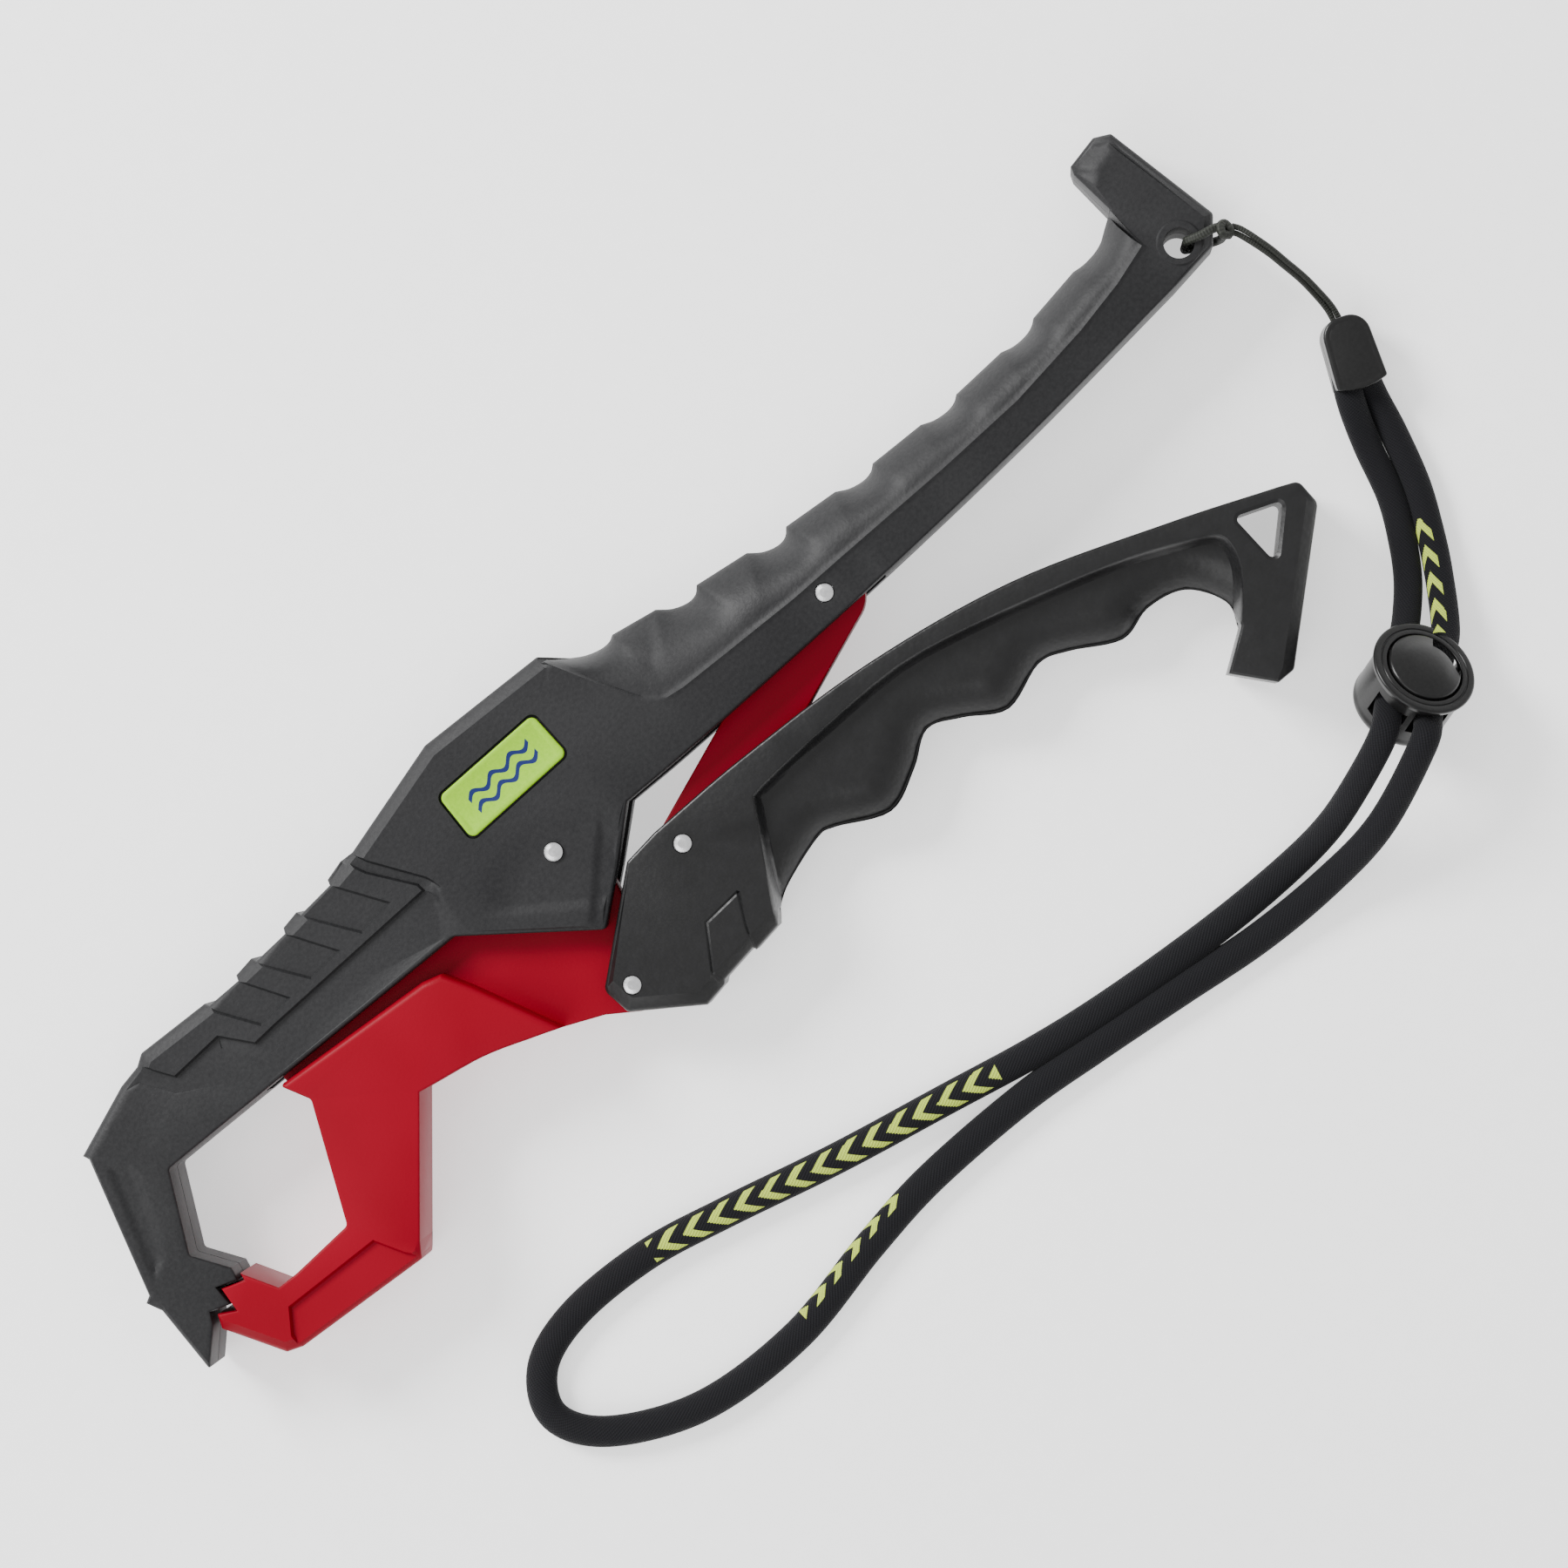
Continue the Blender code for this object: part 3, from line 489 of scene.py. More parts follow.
def make_hitch():
    """The string's hitch: through the lanyard hole, round the tool's corner and into its own knot."""
    out = heading_vector(HITCH_HEADING)
    centre = Vector((*LANYARD_HOLE, 0))
    route = [
        (7.2, 0.7, 15.6), (5.6, 0.55, 17.0), (3.4, 0.1, 17.1), (1.6, 0.0, 16.3), (1.3, 0.0, 14.4),
        (1.3, 0.0, 8.0), (1.3, 0.0, 2.6), (2.0, 0.0, 1.2), (4.0, 0.0, 0.95), (6.4, 0.0, 1.2),
        (7.3, 0.0, 2.6), (7.4, -0.1, 8.0), (7.6, -0.3, 13.2), (7.9, -0.8, 15.2), (8.2, -0.2, 16.2),
        (7.6, 0.9, 16.4), (6.8, 0.5, 17.2), (6.9, -0.7, 17.2), (7.9, -1.0, 16.2),
    ]
    side = Vector((-out.y, out.x, 0))
    points = [placed(*(centre + out * a + side * b + Vector((0, 0, z)))) for a, b, z in smooth(route, 6)]
    hitch = tube_mesh("hitch", points, lambda travelled, total: HITCH_RADIUS, HITCH_RADIUS,
                      braided("hitch_braid"), 16)
    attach(hitch, "body")
    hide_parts("string_hitch")
    return hitch, points


strap, strap_line = make_strap()
string, string_line = make_string()
hitch, hitch_line = make_hitch()


# ---------------------------------------------------------------- relief surfaces

def unit(vectors):
    return vectors / np.maximum(np.linalg.norm(vectors, axis=1), 1e-9)[:, None]


def moved_line(points, distance, closed=False):
    """The line moved sideways to its left, with mitred corners."""
    line = np.array(points, float)
    if closed:
        before, after = np.roll(line, 1, 0), np.roll(line, -1, 0)
    else:
        before = np.vstack([2 * line[:1] - line[1:2], line[:-1]])
        after = np.vstack([line[1:], 2 * line[-1:] - line[-2:-1]])
    runs = unit(line - before), unit(after - line)
    bisector = sum(np.stack([-run[:, 1], run[:, 0]], 1) for run in runs)
    reach = 2 / np.maximum((bisector ** 2).sum(1), 0.8)
    return [tuple(p) for p in line + bisector * reach[:, None] * distance]


def beside(line, distances, closed=False):
    """Lines for cut_sheet: the same line moved sideways by each of the distances."""
    return [(moved_line(line, d, closed), closed) for d in distances]


def dense(line, spacing, closed=False):
    """The same line with points no farther apart than the spacing."""
    points = []
    for ax, ay, bx, by in segments(line, closed):
        steps = math.ceil(math.hypot(bx - ax, by - ay) / spacing)
        points.extend((ax + (bx - ax) * i / steps, ay + (by - ay) * i / steps) for i in range(steps))
    return points if closed else [*points, tuple(line[-1])]


def segments(line, closed):
    """The ends of the line's straight pieces, as (x, y, x, y)."""
    points = [*line, line[0]] if closed else line
    return [(*a, *b) for a, b in zip(points, points[1:]) if a != b]


def distance_to(line, x, y, closed=False):
    """The distance from each point to the nearest part of a line."""
    best = np.full(np.shape(x), 1e9)
    for ax, ay, bx, by in segments(line, closed):
        dx, dy = bx - ax, by - ay
        t = np.clip(((x - ax) * dx + (y - ay) * dy) / (dx * dx + dy * dy), 0, 1)
        best = np.minimum(best, np.hypot(x - ax - t * dx, y - ay - t * dy))
    return best


def inside(outline, x, y):
    """Which points are within a closed outline."""
    result = np.zeros(np.shape(x), bool)
    for ax, ay, bx, by in segments(outline, True):
        if ay != by:
            crosses = (ay > y) != (by > y)
            result ^= crosses & (x < (bx - ax) * (y - ay) / (by - ay) + ax)
    return result


def depth(outline, x, y):
    """Distance inwards from an outline, negative outside it."""
    return distance_to(outline, x, y, True) * np.where(inside(outline, x, y), 1, -1)


def ramp(value, low, high):
    """0 below low, 1 above high, with a smooth rise between them."""
    t = np.clip((value - low) / (high - low), 0, 1)
    return t * t * (3 - 2 * t)


def edge_drop(d, radius):
    """How far a rounded edge of this radius has dropped at distance d from the outline."""
    t = np.clip(1 - d / radius, 0, 1)
    return radius * (1 - np.sqrt(1 - t * t))


def anticlockwise(outline):
    """The outline's points in the order that keeps its inside on the left."""
    area = sum(a[0] * b[1] - b[0] * a[1] for a, b in zip(outline, [*outline[1:], outline[0]]))
    return list(outline) if area > 0 else list(reversed(outline))


def cut_sheet(outline, holes, lines, fine=None, spacing=0.6):
    """Points and triangles of a flat sheet whose edges follow all the lines, finer where fine() says."""
    points = []
    edges = []
    for line, closed in [(outline, True), *((hole, True) for hole in holes), *lines]:
        first = len(points)
        points.extend(line)
        edges.extend((first + i, first + i + 1) for i in range(len(line) - 1))
        if closed:
            edges.append((len(points) - 1, first))
    if fine:
        low, high = np.min(outline, 0), np.max(outline, 0)
        x, y = np.meshgrid(np.arange(low[0], high[0], spacing), np.arange(low[1], high[1], spacing * 0.87))
        x[1::2] += spacing / 2
        x, y = x.ravel(), y.ravel()
        keep = inside(outline, x, y) & fine(x, y)
        x, y = x[keep], y[keep]
        clear = distance_to(outline, x, y, True)
        for line, closed in [*((hole, True) for hole in holes), *lines]:
            clear = np.minimum(clear, distance_to(line, x, y, closed))
        keep = clear > spacing * 0.4
        points.extend(zip(x[keep], y[keep]))
    result = delaunay_2d_cdt([Vector(p) for p in points], edges, [], 0, 1e-5)
    flat = np.array([tuple(p) for p in result[0]])
    triangles = np.array(result[2])
    middle = flat[triangles].mean(1)
    keep = inside(outline, middle[:, 0], middle[:, 1])
    for hole in holes:
        keep &= ~inside(hole, middle[:, 0], middle[:, 1])
    triangles = triangles[keep]
    a, b, c = (flat[triangles[:, i]] for i in range(3))
    turned_over = (b[:, 0] - a[:, 0]) * (c[:, 1] - a[:, 1]) < (b[:, 1] - a[:, 1]) * (c[:, 0] - a[:, 0])
    triangles[turned_over] = triangles[turned_over][:, ::-1]
    return flat, triangles


def border(triangles):
    """The directed edges that only one triangle has."""
    edges = {(int(a), int(b)) for tri in triangles for a, b in zip(tri, (*tri[1:], tri[0]))}
    return [edge for edge in edges if edge[::-1] not in edges]


class Shape:
    """Vertices in plan millimetres and faces of a mesh being put together."""

    def __init__(self):
        self.verts = []
        self.faces = []

    def add(self, verts, faces):
        first = len(self.verts)
        self.verts.extend(verts)
        self.faces.extend(tuple(first + i for i in face) for face in faces)

    def add_sheet(self, flat, triangles, heights):
        self.add([(x, y, z) for (x, y), z in zip(flat, heights)], [tuple(tri) for tri in triangles.tolist()])

    def add_walls(self, flat, edges, tops, lows):
        """Walls down from a sheet's border; lows has one height for each edge."""
        verts = []
        faces = []
        seen = {}

        def corner(point, height):
            key = (point, round(float(height), 4))
            if key not in seen:
                seen[key] = len(verts)
                verts.append((*flat[point], height))
            return seen[key]

        for (a, b), low in zip(edges, lows):
            faces.append((corner(a, tops[a]), corner(a, low), corner(b, low), corner(b, tops[b])))
        self.add(verts, faces)

    def to_object(self, name, material, mirror=False):
        """A mesh object; mirror turns the piece over, about the tool's middle plane."""
        verts = [placed(x, y, 2 * MID_PLANE - z if mirror else z) for x, y, z in self.verts]
        faces = [face[::-1] for face in self.faces] if mirror else self.faces
        mesh = bpy.data.meshes.new(name)
        mesh.from_pydata(verts, [], faces)
        shape = bmesh.new()
        shape.from_mesh(mesh)
        bmesh.ops.remove_doubles(shape, verts=shape.verts, dist=0.000002)
        shape.to_mesh(mesh)
        shape.free()
        give_surface(mesh, material, 32)
        return add_object(name, mesh)


def make_shell(outline, holes, slot, lines, height, fine):
    """One shell of a hollow half: its relief face, side walls, and underside with the slot's roof."""
    parting = MID_PLANE + PART_GAP / 2
    roof = MID_PLANE + SLOT_HALF
    shape = Shape()
    flat, triangles = cut_sheet(outline, holes, [*lines, (dense(slot, 0.6, True), True)], fine)
    tops = height(flat[:, 0], flat[:, 1])
    shape.add_sheet(flat, triangles, tops)
    edges = border(triangles)
    middle = np.array([(flat[a] + flat[b]) / 2 for a, b in edges])
    lows = np.where(inside(slot, middle[:, 0], middle[:, 1]), roof, parting)
    shape.add_walls(flat, edges, tops, lows)
    flat, triangles = cut_sheet(outline, holes, [(slot, True)])
    middle = flat[triangles].mean(1)
    in_slot = inside(slot, middle[:, 0], middle[:, 1])
    for group, level in ((triangles[in_slot], roof), (triangles[~in_slot], parting)):
        shape.add_sheet(flat, group[:, ::-1], np.full(len(flat), level))
    parting_edges = set(border(triangles[~in_slot]))
    edges = [edge for edge in border(triangles[in_slot]) if edge[::-1] in parting_edges]
    shape.add_walls(flat, edges, np.full(len(flat), roof), np.full(len(edges), parting))
    return shape


# ---------------------------------------------------------------- body

JAW_PIVOT = (0.0, 0.0)
JAW_HANDLE_PIVOT = (-6.1, -23.7)
LINK_HANDLE_PIVOT = (15.4, -13.5)
LINK_BODY_PIVOT = (59.3, -1.4)
PIN_HOLE_RADIUS = 1.6
LANYARD_HOLE_RADIUS = 2.45

GROOVES = ((23.2, 1.1), (38.3, 1.7), (54.9, 1.75), (71.7, 1.25), (88.8, 1.05), (105.9, 0.95), (122.9, 0.7))
GROOVE_PROFILE = ((0.0, 0.0), (2.0, 0.75), (4.4, 1.0), (6.2, 0.7), (7.4, 0.0))


def crest_line(x):
    """The height in plan of the crests between the finger grooves."""
    return 6.0 + 0.0063 * abs(x - 106.0) ** 1.75


NOSE = (
    (-97.3, -19.6, 0.3), (-96.1, -7.4), (-97.0, -4.8), (-95.9, -4.2), (-87.4, 17.9), (-87.8, 19.0),
    (-75.5, 22.5), (-71.5, 22.9), (-69.5, 24.0, 0.8), (-56.7, 22.4), (-56.3, 21.6), (-50.2, 21.1),
    (-49.9, 22.0), (-46.3, 22.2), (-46.0, 21.3), (-39.6, 21.1), (-39.2, 22.0), (-36.0, 22.3),
    (-35.7, 21.5), (-29.1, 21.5), (-28.8, 22.4), (-25.3, 23.0), (-22.9, 22.7), (-2.7, 26.5, 1.0),
    (19.8, 23.8, 0.6),
)
HOOK = (
    (133.4, 9.4, 0.4), (133.4, 17.3, 0.6), (134.0, 18.6), (139.8, 19.4, 0.6), (142.1, 17.8, 0.6),
    (144.5, -2.5, 1.0), (140.9, -6.1),
)
WINDOW = (
    (-79.2, 7.8, 0.8), (-86.6, -4.3, 0.8), (-83.2, -10.4), (-83.5, -11.5), (-83.9, -12.5),
    (-87.2, -10.9), (-87.4, -14.4), (-90.6, -13.0), (-91.6, -14.7),
)
BODY_SLOT = [
    (-60.0, 8.8), (-24.0, 6.2), (-19.0, 16.5), (-4.0, 20.5), (14.0, 18.0), (30.0, 11.0), (45.0, 7.5),
    (60.0, 4.6), (68.0, 3.4), (68.0, -14.0), (40.0, -14.0), (12.0, -20.0), (-4.0, -26.0),
    (-24.0, -12.0), (-60.0, -6.0),
]
BADGE_OUTLINE = ((-6.8, 19.0, 1.2), (13.0, 17.7, 1.2), (12.6, 9.4, 1.2), (-7.7, 10.5, 1.2))
BADGE_RECESS = ((-7.1, 19.4, 1.4), (13.4, 18.05, 1.4), (12.9, 9.0, 1.4), (-8.1, 10.15, 1.4))


def finger_side():
    """The scalloped stretch of the body's outline."""
    points = []
    for start, deep in GROOVES:
        knots = [(start + along, crest_line(start + along) - deep * share) for along, share in GROOVE_PROFILE]
        points.extend(smooth(knots, 3))
    return points


def body_outline():
    lower_edge = smooth([(132.2, -6.5), (98.2, -6.8), (63.3, -5.8), (28.5, -3.8), (13.9, -2.6)], 6)
    belly = [(6.0, -8.4), (-2.9, -14.5, 0.8), (-20.8, 1.8, 1.2)]
    return rounded([*NOSE, *finger_side(), *HOOK, *lower_edge, *belly, *WINDOW])


RIDGE = [
    (20.2, 22.2), (23.9, 13.6), (27.2, 6.9), (29.6, 4.6), (33.0, 3.8), (41.7, 2.8), (55.1, 1.3), (67.2, 0.5),
    (86.5, -0.9), (102.0, -1.6), (116.7, -0.9), (126.0, 0.2), (132.9, 1.7),
]
FINGER_FIELD = [*RIDGE, (133.2, 9.4), (133.2, 12.0), (24.0, 26.0), (20.2, 26.0)]
RIB_PAD = [
    (-72.2, 26.0), (-69.9, 20.4), (-68.1, 17.2), (-58.7, 16.9), (-55.2, 11.9), (-51.1, 11.8), (-18.8, 10.1),
    (-18.8, 11.6), (-23.3, 18.8), (-26.0, 26.0),
]
POCKETS = (
    [(-29.8, 24.5), (-28.9, 21.7), (-23.9, 12.6), (-30.7, 12.3), (-35.8, 20.8), (-36.4, 24.5)],
    [(-40.4, 24.5), (-39.3, 21.1), (-35.0, 12.9), (-41.6, 12.9), (-46.3, 20.8), (-47.0, 24.5)],
    [(-51.4, 24.5), (-49.9, 21.1), (-45.9, 13.2), (-52.5, 13.3), (-56.3, 20.0), (-57.6, 24.5)],
)
LEG_RECESS = [
    (-86.3, 15.5), (-83.0, 12.6), (-82.9, 10.3), (-85.6, 5.3), (-87.5, 1.2), (-89.7, -2.1), (-93.4, -3.6),
    (-94.3, -4.4),
]
STEP_LINE = [(-23.2, 24.0), (-22.1, 20.0), (-17.2, 11.4), (-16.9, 10.3), (-18.0, 8.2), (-20.5, 2.0)]
FINE_LINES = ([(-72.9, 20.8), (-69.9, 15.5)], [(-59.5, 15.4), (-56.4, 9.8)])
# Chamfered stretches of the body's edge: line, width, drop.
CHAMFERS = (
    ([(-97.3, -19.6), (-96.1, -7.4)], 1.7, 1.3),
    ([(-95.9, -4.2), (-87.4, 17.9)], 1.3, 1.3),
    ([(-87.8, 19.0), (-75.5, 22.5), (-71.5, 23.0)], 2.2, 1.5),
    ([(-71.5, 23.0), (-69.5, 24.0), (-56.7, 22.4), (-46.0, 22.0), (-28.8, 22.3), (-22.9, 22.8)], 2.2, 1.5),
    ([(-22.9, 22.8), (-2.7, 26.5), (19.8, 23.8)], 2.3, 1.6),
    ([(139.8, 19.4), (142.1, 17.8), (144.5, -2.5), (140.9, -6.1)], 1.5, 1.3),
    ([(-91.6, -14.7), (-97.3, -19.6)], 1.0, 0.9),
)
HOOK_BEVEL = [(133.4, 17.3), (134.0, 18.6), (139.8, 19.4)]
# The sunken patch round the belly's corner: its middle, and the two lines where it starts.
BELLY_MIDDLE = (-3.0, -9.5)
BELLY_LEFT_START = (-3.4, -8.6)
BELLY_RIGHT_START = (0.6, -8.6)

NECK_DROP = 0.75
POCKET_DEPTH = 0.65
LEG_RECESS_DEPTH = 0.45
FINE_LINE_DEPTH = 0.14
FINE_LINE_HALF = 0.3
BELLY_LEFT_DEPTH = 0.55
BELLY_RIGHT_DEPTH = 0.5
BADGE_RECESS_DEPTH = 0.95
RING_RISE = 0.28
RING_EDGE = (3.35, 3.65)
HOOK_BEVEL_DROP = 1.5
HOOK_BEVEL_WIDTH = 4.2
FINGER_FALL = 6.0
GROOVE_RELIEF = 0.55
FINGER_LOWEST = 9.2
FINGER_END = (132.9, 133.3)
RIDGE_CREASE = 0.5
BEAD_HEIGHT = 0.34
BEAD_HALF = 0.42
BODY_EDGE = 0.45
CHANNEL_DEPTH = 2.3


def step_place(y):
    """Where the step between the neck and the main plate is, at each height of the plan."""
    heights = [-10.0, 2.0, 8.2, 10.3, 11.4, 20.0, 24.0]
    return np.interp(y, heights, [-22.0, -20.5, -18.0, -16.9, -17.2, -22.1, -23.2])


def groove_share(x, y):
    """How deep into a finger groove each point is, along slanted grooves with a steep far wall."""
    place = x - 0.4 * np.maximum(crest_line(x) - y, 0)
    share = np.zeros(np.shape(x))
    for start, deep in GROOVES:
        profile = np.interp(place - start, [-1.0, 0.5, 3.0, 5.2, 7.2, 8.4], [0, 0.12, 0.8, 0.95, 0.15, 0])
        share += profile * (0.5 + deep / 2)
    return share


def body_height(outline, channel=None):
    """The height of a body shell's outer face; channel is the string's groove, which only the back has."""
    def height(x, y):
        soft = np.interp(y, [0.0, 9.0], [6.0, 0.35])
        plate = ramp((x - step_place(y)) / soft, -0.5, 0.5)
        pad = ramp(depth(RIB_PAD, x, y), 0.0, 0.35)
        z = BODY_TOP - NECK_DROP * (1 - np.maximum(plate, pad))
        for pocket in POCKETS:
            z = z - POCKET_DEPTH * ramp(depth(pocket, x, y), 0.0, 0.4)
        z = z - LEG_RECESS_DEPTH * ramp(depth(LEG_RECESS, x, y), 0.0, 1.3)
        for line in FINE_LINES:
            z = z - FINE_LINE_DEPTH * (1 - ramp(distance_to(line, x, y), 0.0, FINE_LINE_HALF))
        near_belly = 1 - ramp(np.hypot(x - BELLY_MIDDLE[0], y - BELLY_MIDDLE[1]), 10.0, 17.0)
        past_left = (x - BELLY_LEFT_START[0]) * 0.64 + (y - BELLY_LEFT_START[1]) * 0.77
        past_right = (x - BELLY_RIGHT_START[0]) * 0.65 - (y - BELLY_RIGHT_START[1]) * 0.76
        z = z - BELLY_LEFT_DEPTH * near_belly * ramp(past_left, -0.9, 1.1)
        z = z - BELLY_RIGHT_DEPTH * near_belly * ramp(past_right, -0.4, 0.6)
        z = z - BADGE_RECESS_DEPTH * ramp(depth(rounded(BADGE_RECESS), x, y), -0.05, 0.1)
        ring = np.hypot(x - LANYARD_HOLE[0], y - LANYARD_HOLE[1])
        z = z + RING_RISE * (1 - ramp(ring, *RING_EDGE))
        for line, width, drop in CHAMFERS:
            d = distance_to(line, x, y)
            z = np.minimum(z, BODY_TOP - drop * (1 - d / width))
        z = z - HOOK_BEVEL_DROP * (1 - ramp(distance_to(HOOK_BEVEL, x, y), 0.0, HOOK_BEVEL_WIDTH))
        to_ridge = distance_to(RIDGE, x, y)
        to_edge = distance_to(outline, x, y, True)
        field = depth(FINGER_FIELD, x, y)
        share = np.clip(to_ridge / (to_ridge + to_edge + 1e-6), 0, 1)
        low = BODY_TOP - FINGER_FALL * share ** 2.2 - GROOVE_RELIEF * groove_share(x, y) * share ** 1.2
        low = low - RIDGE_CREASE * ramp(to_ridge, 0.0, 0.4) * (1 - ramp(x, 24.0, 31.0))
        low = np.maximum(low, FINGER_LOWEST)
        wall = ramp(x, *FINGER_END)
        z = np.where(field > 0, low * (1 - wall) + z * wall, z)
        bead = np.exp(-(to_ridge / BEAD_HALF) ** 2) * ramp(x, 27.0, 32.0)
        z = z + BEAD_HEIGHT * bead
        z = np.where(field > 0, z, z - edge_drop(to_edge, BODY_EDGE))
        z = np.where((field > 0) & (to_edge < 0.4), z - 0.3 * (1 - to_edge / 0.4), z)
        if channel is not None:
            z = z - CHANNEL_DEPTH * ramp(depth(channel, x, y), 0.0, 0.2)
        return z

    return height


def body_lines(outline):
    lines = []
    for pocket in POCKETS:
        lines += beside(anticlockwise(pocket), (0.0, 0.4), True)
    lines += beside(anticlockwise(RIB_PAD), (0.0, 0.35), True)
    lines += beside(STEP_LINE[:4], (-0.18, 0.18))
    lines += beside(rounded(BADGE_RECESS), (0.05, -0.1), True)
    lines += beside(outline, (0.07, 0.2, BODY_EDGE), True)
    for line, width, drop in CHAMFERS:
        lines += beside(line, (-width, -width * (1 - NECK_DROP / drop)))
    lines += beside(dense(RIDGE, 1.0), (-0.8, -0.4, 0.0, 0.4, 0.8))
    lines += [([(x, 1.0), (x, 11.0)], False) for x in FINGER_END]
    lines += [(circle(LANYARD_HOLE, r, 48), True) for r in RING_EDGE]
    for line in FINE_LINES:
        lines += beside(line, (-FINE_LINE_HALF, 0.0, FINE_LINE_HALF))
    return lines


def body_fine(x, y):
    """Where the body's face is curved and needs a fine grid."""
    fingers = inside(FINGER_FIELD, x, y)
    hook = distance_to(HOOK_BEVEL, x, y) < 5
    belly = np.hypot(x - BELLY_MIDDLE[0], y - BELLY_MIDDLE[1]) < 17.5
    leg = distance_to(LEG_RECESS, x, y, True) < 2
    step = (np.abs(x - step_place(y)) < 4) & (y < 9)
    return fingers | hook | belly | leg | step


body_plastic = moulded_plastic(
    "body_plastic", (0.011, 0.011, 0.012), (0.020, 0.020, 0.021), grain=1500.0, grain_strength=0.34,
    roughness=0.5
)


def make_body():
    outline = anticlockwise(body_outline())
    holes = [circle(JAW_PIVOT, PIN_HOLE_RADIUS), circle(LINK_BODY_PIVOT, PIN_HOLE_RADIUS),
             circle(LANYARD_HOLE, LANYARD_HOLE_RADIUS)]
    turn = Matrix.Rotation(math.radians(HITCH_HEADING), 2)
    corners = [turn @ Vector(p) for p in ((-1.4, -1.75), (10.6, -1.75), (10.6, 1.75), (-1.4, 1.75))]
    channel = [(LANYARD_HOLE[0] + p.x, LANYARD_HOLE[1] + p.y) for p in corners]
    lines = body_lines(outline)
    front = make_shell(outline, holes, BODY_SLOT, lines, body_height(outline), body_fine)
    lines += beside(channel, (0.0, 0.2), True)
    back = make_shell(outline, holes, BODY_SLOT, lines, body_height(outline, channel), body_fine)
    for name, shell, mirror in (("body_front", front, False), ("body_back", back, True)):
        obj = shell.to_object(name, body_plastic, mirror)
        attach(obj, "body")
        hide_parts(name + "_shell")


make_body()


# ---------------------------------------------------------------- lower handle

RAIL = (
    (13.4, -9.1), (31.2, -10.5), (56.2, -14.1), (81.3, -21.0), (105.0, -31.8), (121.5, -40.2),
)
HANDLE_HOOK = (
    (124.2, -41.7, 1.5), (124.0, -46.3, 1.5), (102.9, -62.2, 1.0), (99.7, -61.9), (95.1, -55.4),
)
GRIP_EDGE = (
    (101.8, -51.5), (103.1, -47.0), (99.9, -41.2), (93.7, -39.1), (87.4, -39.8), (80.1, -35.1),
    (75.2, -33.1), (66.9, -34.8), (60.7, -30.6), (55.4, -27.9), (49.5, -30.9), (42.1, -33.1),
    (34.1, -28.6), (30.8, -27.8), (22.7, -29.6), (18.6, -31.5),
)
BLOCK = (
    (16.9, -33.3), (11.7, -33.6), (11.5, -33.0), (4.9, -33.4), (4.2, -33.9), (0.0, -34.3),
    (-9.8, -26.2, 1.0), (-10.1, -21.2, 1.5), (7.1, -9.3, 0.8),
)
HANDLE_SLOT = [
    (-24.0, -4.0), (62.0, -4.0), (56.0, -12.0), (44.0, -15.5), (30.0, -19.5), (22.0, -22.5),
    (10.0, -24.0), (2.5, -27.0), (-1.5, -30.0), (-6.0, -38.0), (-24.0, -38.0),
]
DIAMOND_DEPTH = 0.24
DIAMOND_HALF = 0.35
HOLE_RIM_DROP = 0.4
HOLE_RIM_WIDTH = 0.6
HANDLE_EDGE = 0.5
RAIL_WALL = 1.5
GRIP_DROP = 2.7
GRIP_SLOPE = 0.02
GRIP_ROUND_DROP = 4.4
GRIP_ROUND_WIDTH = 7.0
TRIANGLE_HOLE = ((113.0, -38.5, 0.8), (120.4, -42.1, 0.8), (112.6, -48.4, 0.8))
RAIL_INNER = (
    (17.2, -32.6), (18.6, -30.1), (24.5, -21.6), (28.0, -16.6), (30.2, -15.7), (43.2, -16.1), (59.2, -17.4),
    (72.6, -21.4), (85.1, -26.1), (97.1, -31.2), (105.5, -35.8), (109.2, -38.4), (109.9, -41.0),
    (108.4, -45.0), (104.2, -49.6), (99.8, -53.0),
)
HANDLE_CHAMFERS = (
    ([(-10.1, -21.2), (-9.8, -26.2), (0.0, -34.3), (4.6, -33.7), (16.9, -33.4)], 2.3, 1.7),
    ([(124.0, -46.3), (102.9, -62.2)], 1.9, 1.5),
)
DIAMOND = (
    [(16.2, -25.1), (9.2, -25.0), (4.0, -31.7), (3.9, -34.2)],
    [(16.2, -25.1), (13.4, -29.7), (11.5, -33.6)],
)


def handle_outline():
    return rounded([*smooth(RAIL, 8), *HANDLE_HOOK, *smooth(GRIP_EDGE, 6), *BLOCK])


def handle_height(outline, grip):
    """The height of a handle shell's outer face: a flat rail, and the grip that bulges below it."""
    edge = smooth(GRIP_EDGE, 4)
    inner = smooth(RAIL_INNER, 3)

    def height(x, y):
        z = np.full(np.shape(x), HANDLE_TOP)
        for line, width, drop in HANDLE_CHAMFERS:
            z = np.minimum(z, HANDLE_TOP - drop * (1 - distance_to(line, x, y) / width))
        for line in DIAMOND:
            z = z - DIAMOND_DEPTH * (1 - ramp(distance_to(line, x, y), 0.0, DIAMOND_HALF))
        hole = distance_to(rounded(TRIANGLE_HOLE), x, y, True)
        z = z - HOLE_RIM_DROP * (1 - ramp(hole, 0.0, HOLE_RIM_WIDTH))
        to_outline = distance_to(outline, x, y, True)
        z = z - edge_drop(to_outline, HANDLE_EDGE)
        to_edge = distance_to(edge, x, y)
        to_rail = distance_to(inner, x, y)
        rounding = GRIP_ROUND_DROP * np.clip(1 - to_edge / GRIP_ROUND_WIDTH, 0, 1) ** 2.2
        bulge = HANDLE_TOP - GRIP_DROP - GRIP_SLOPE * to_rail - rounding
        share = ramp(to_rail, 0.0, RAIL_WALL)
        return np.where(inside(grip, x, y), z * (1 - share) + np.minimum(bulge, z + 9) * share, z)

    return height


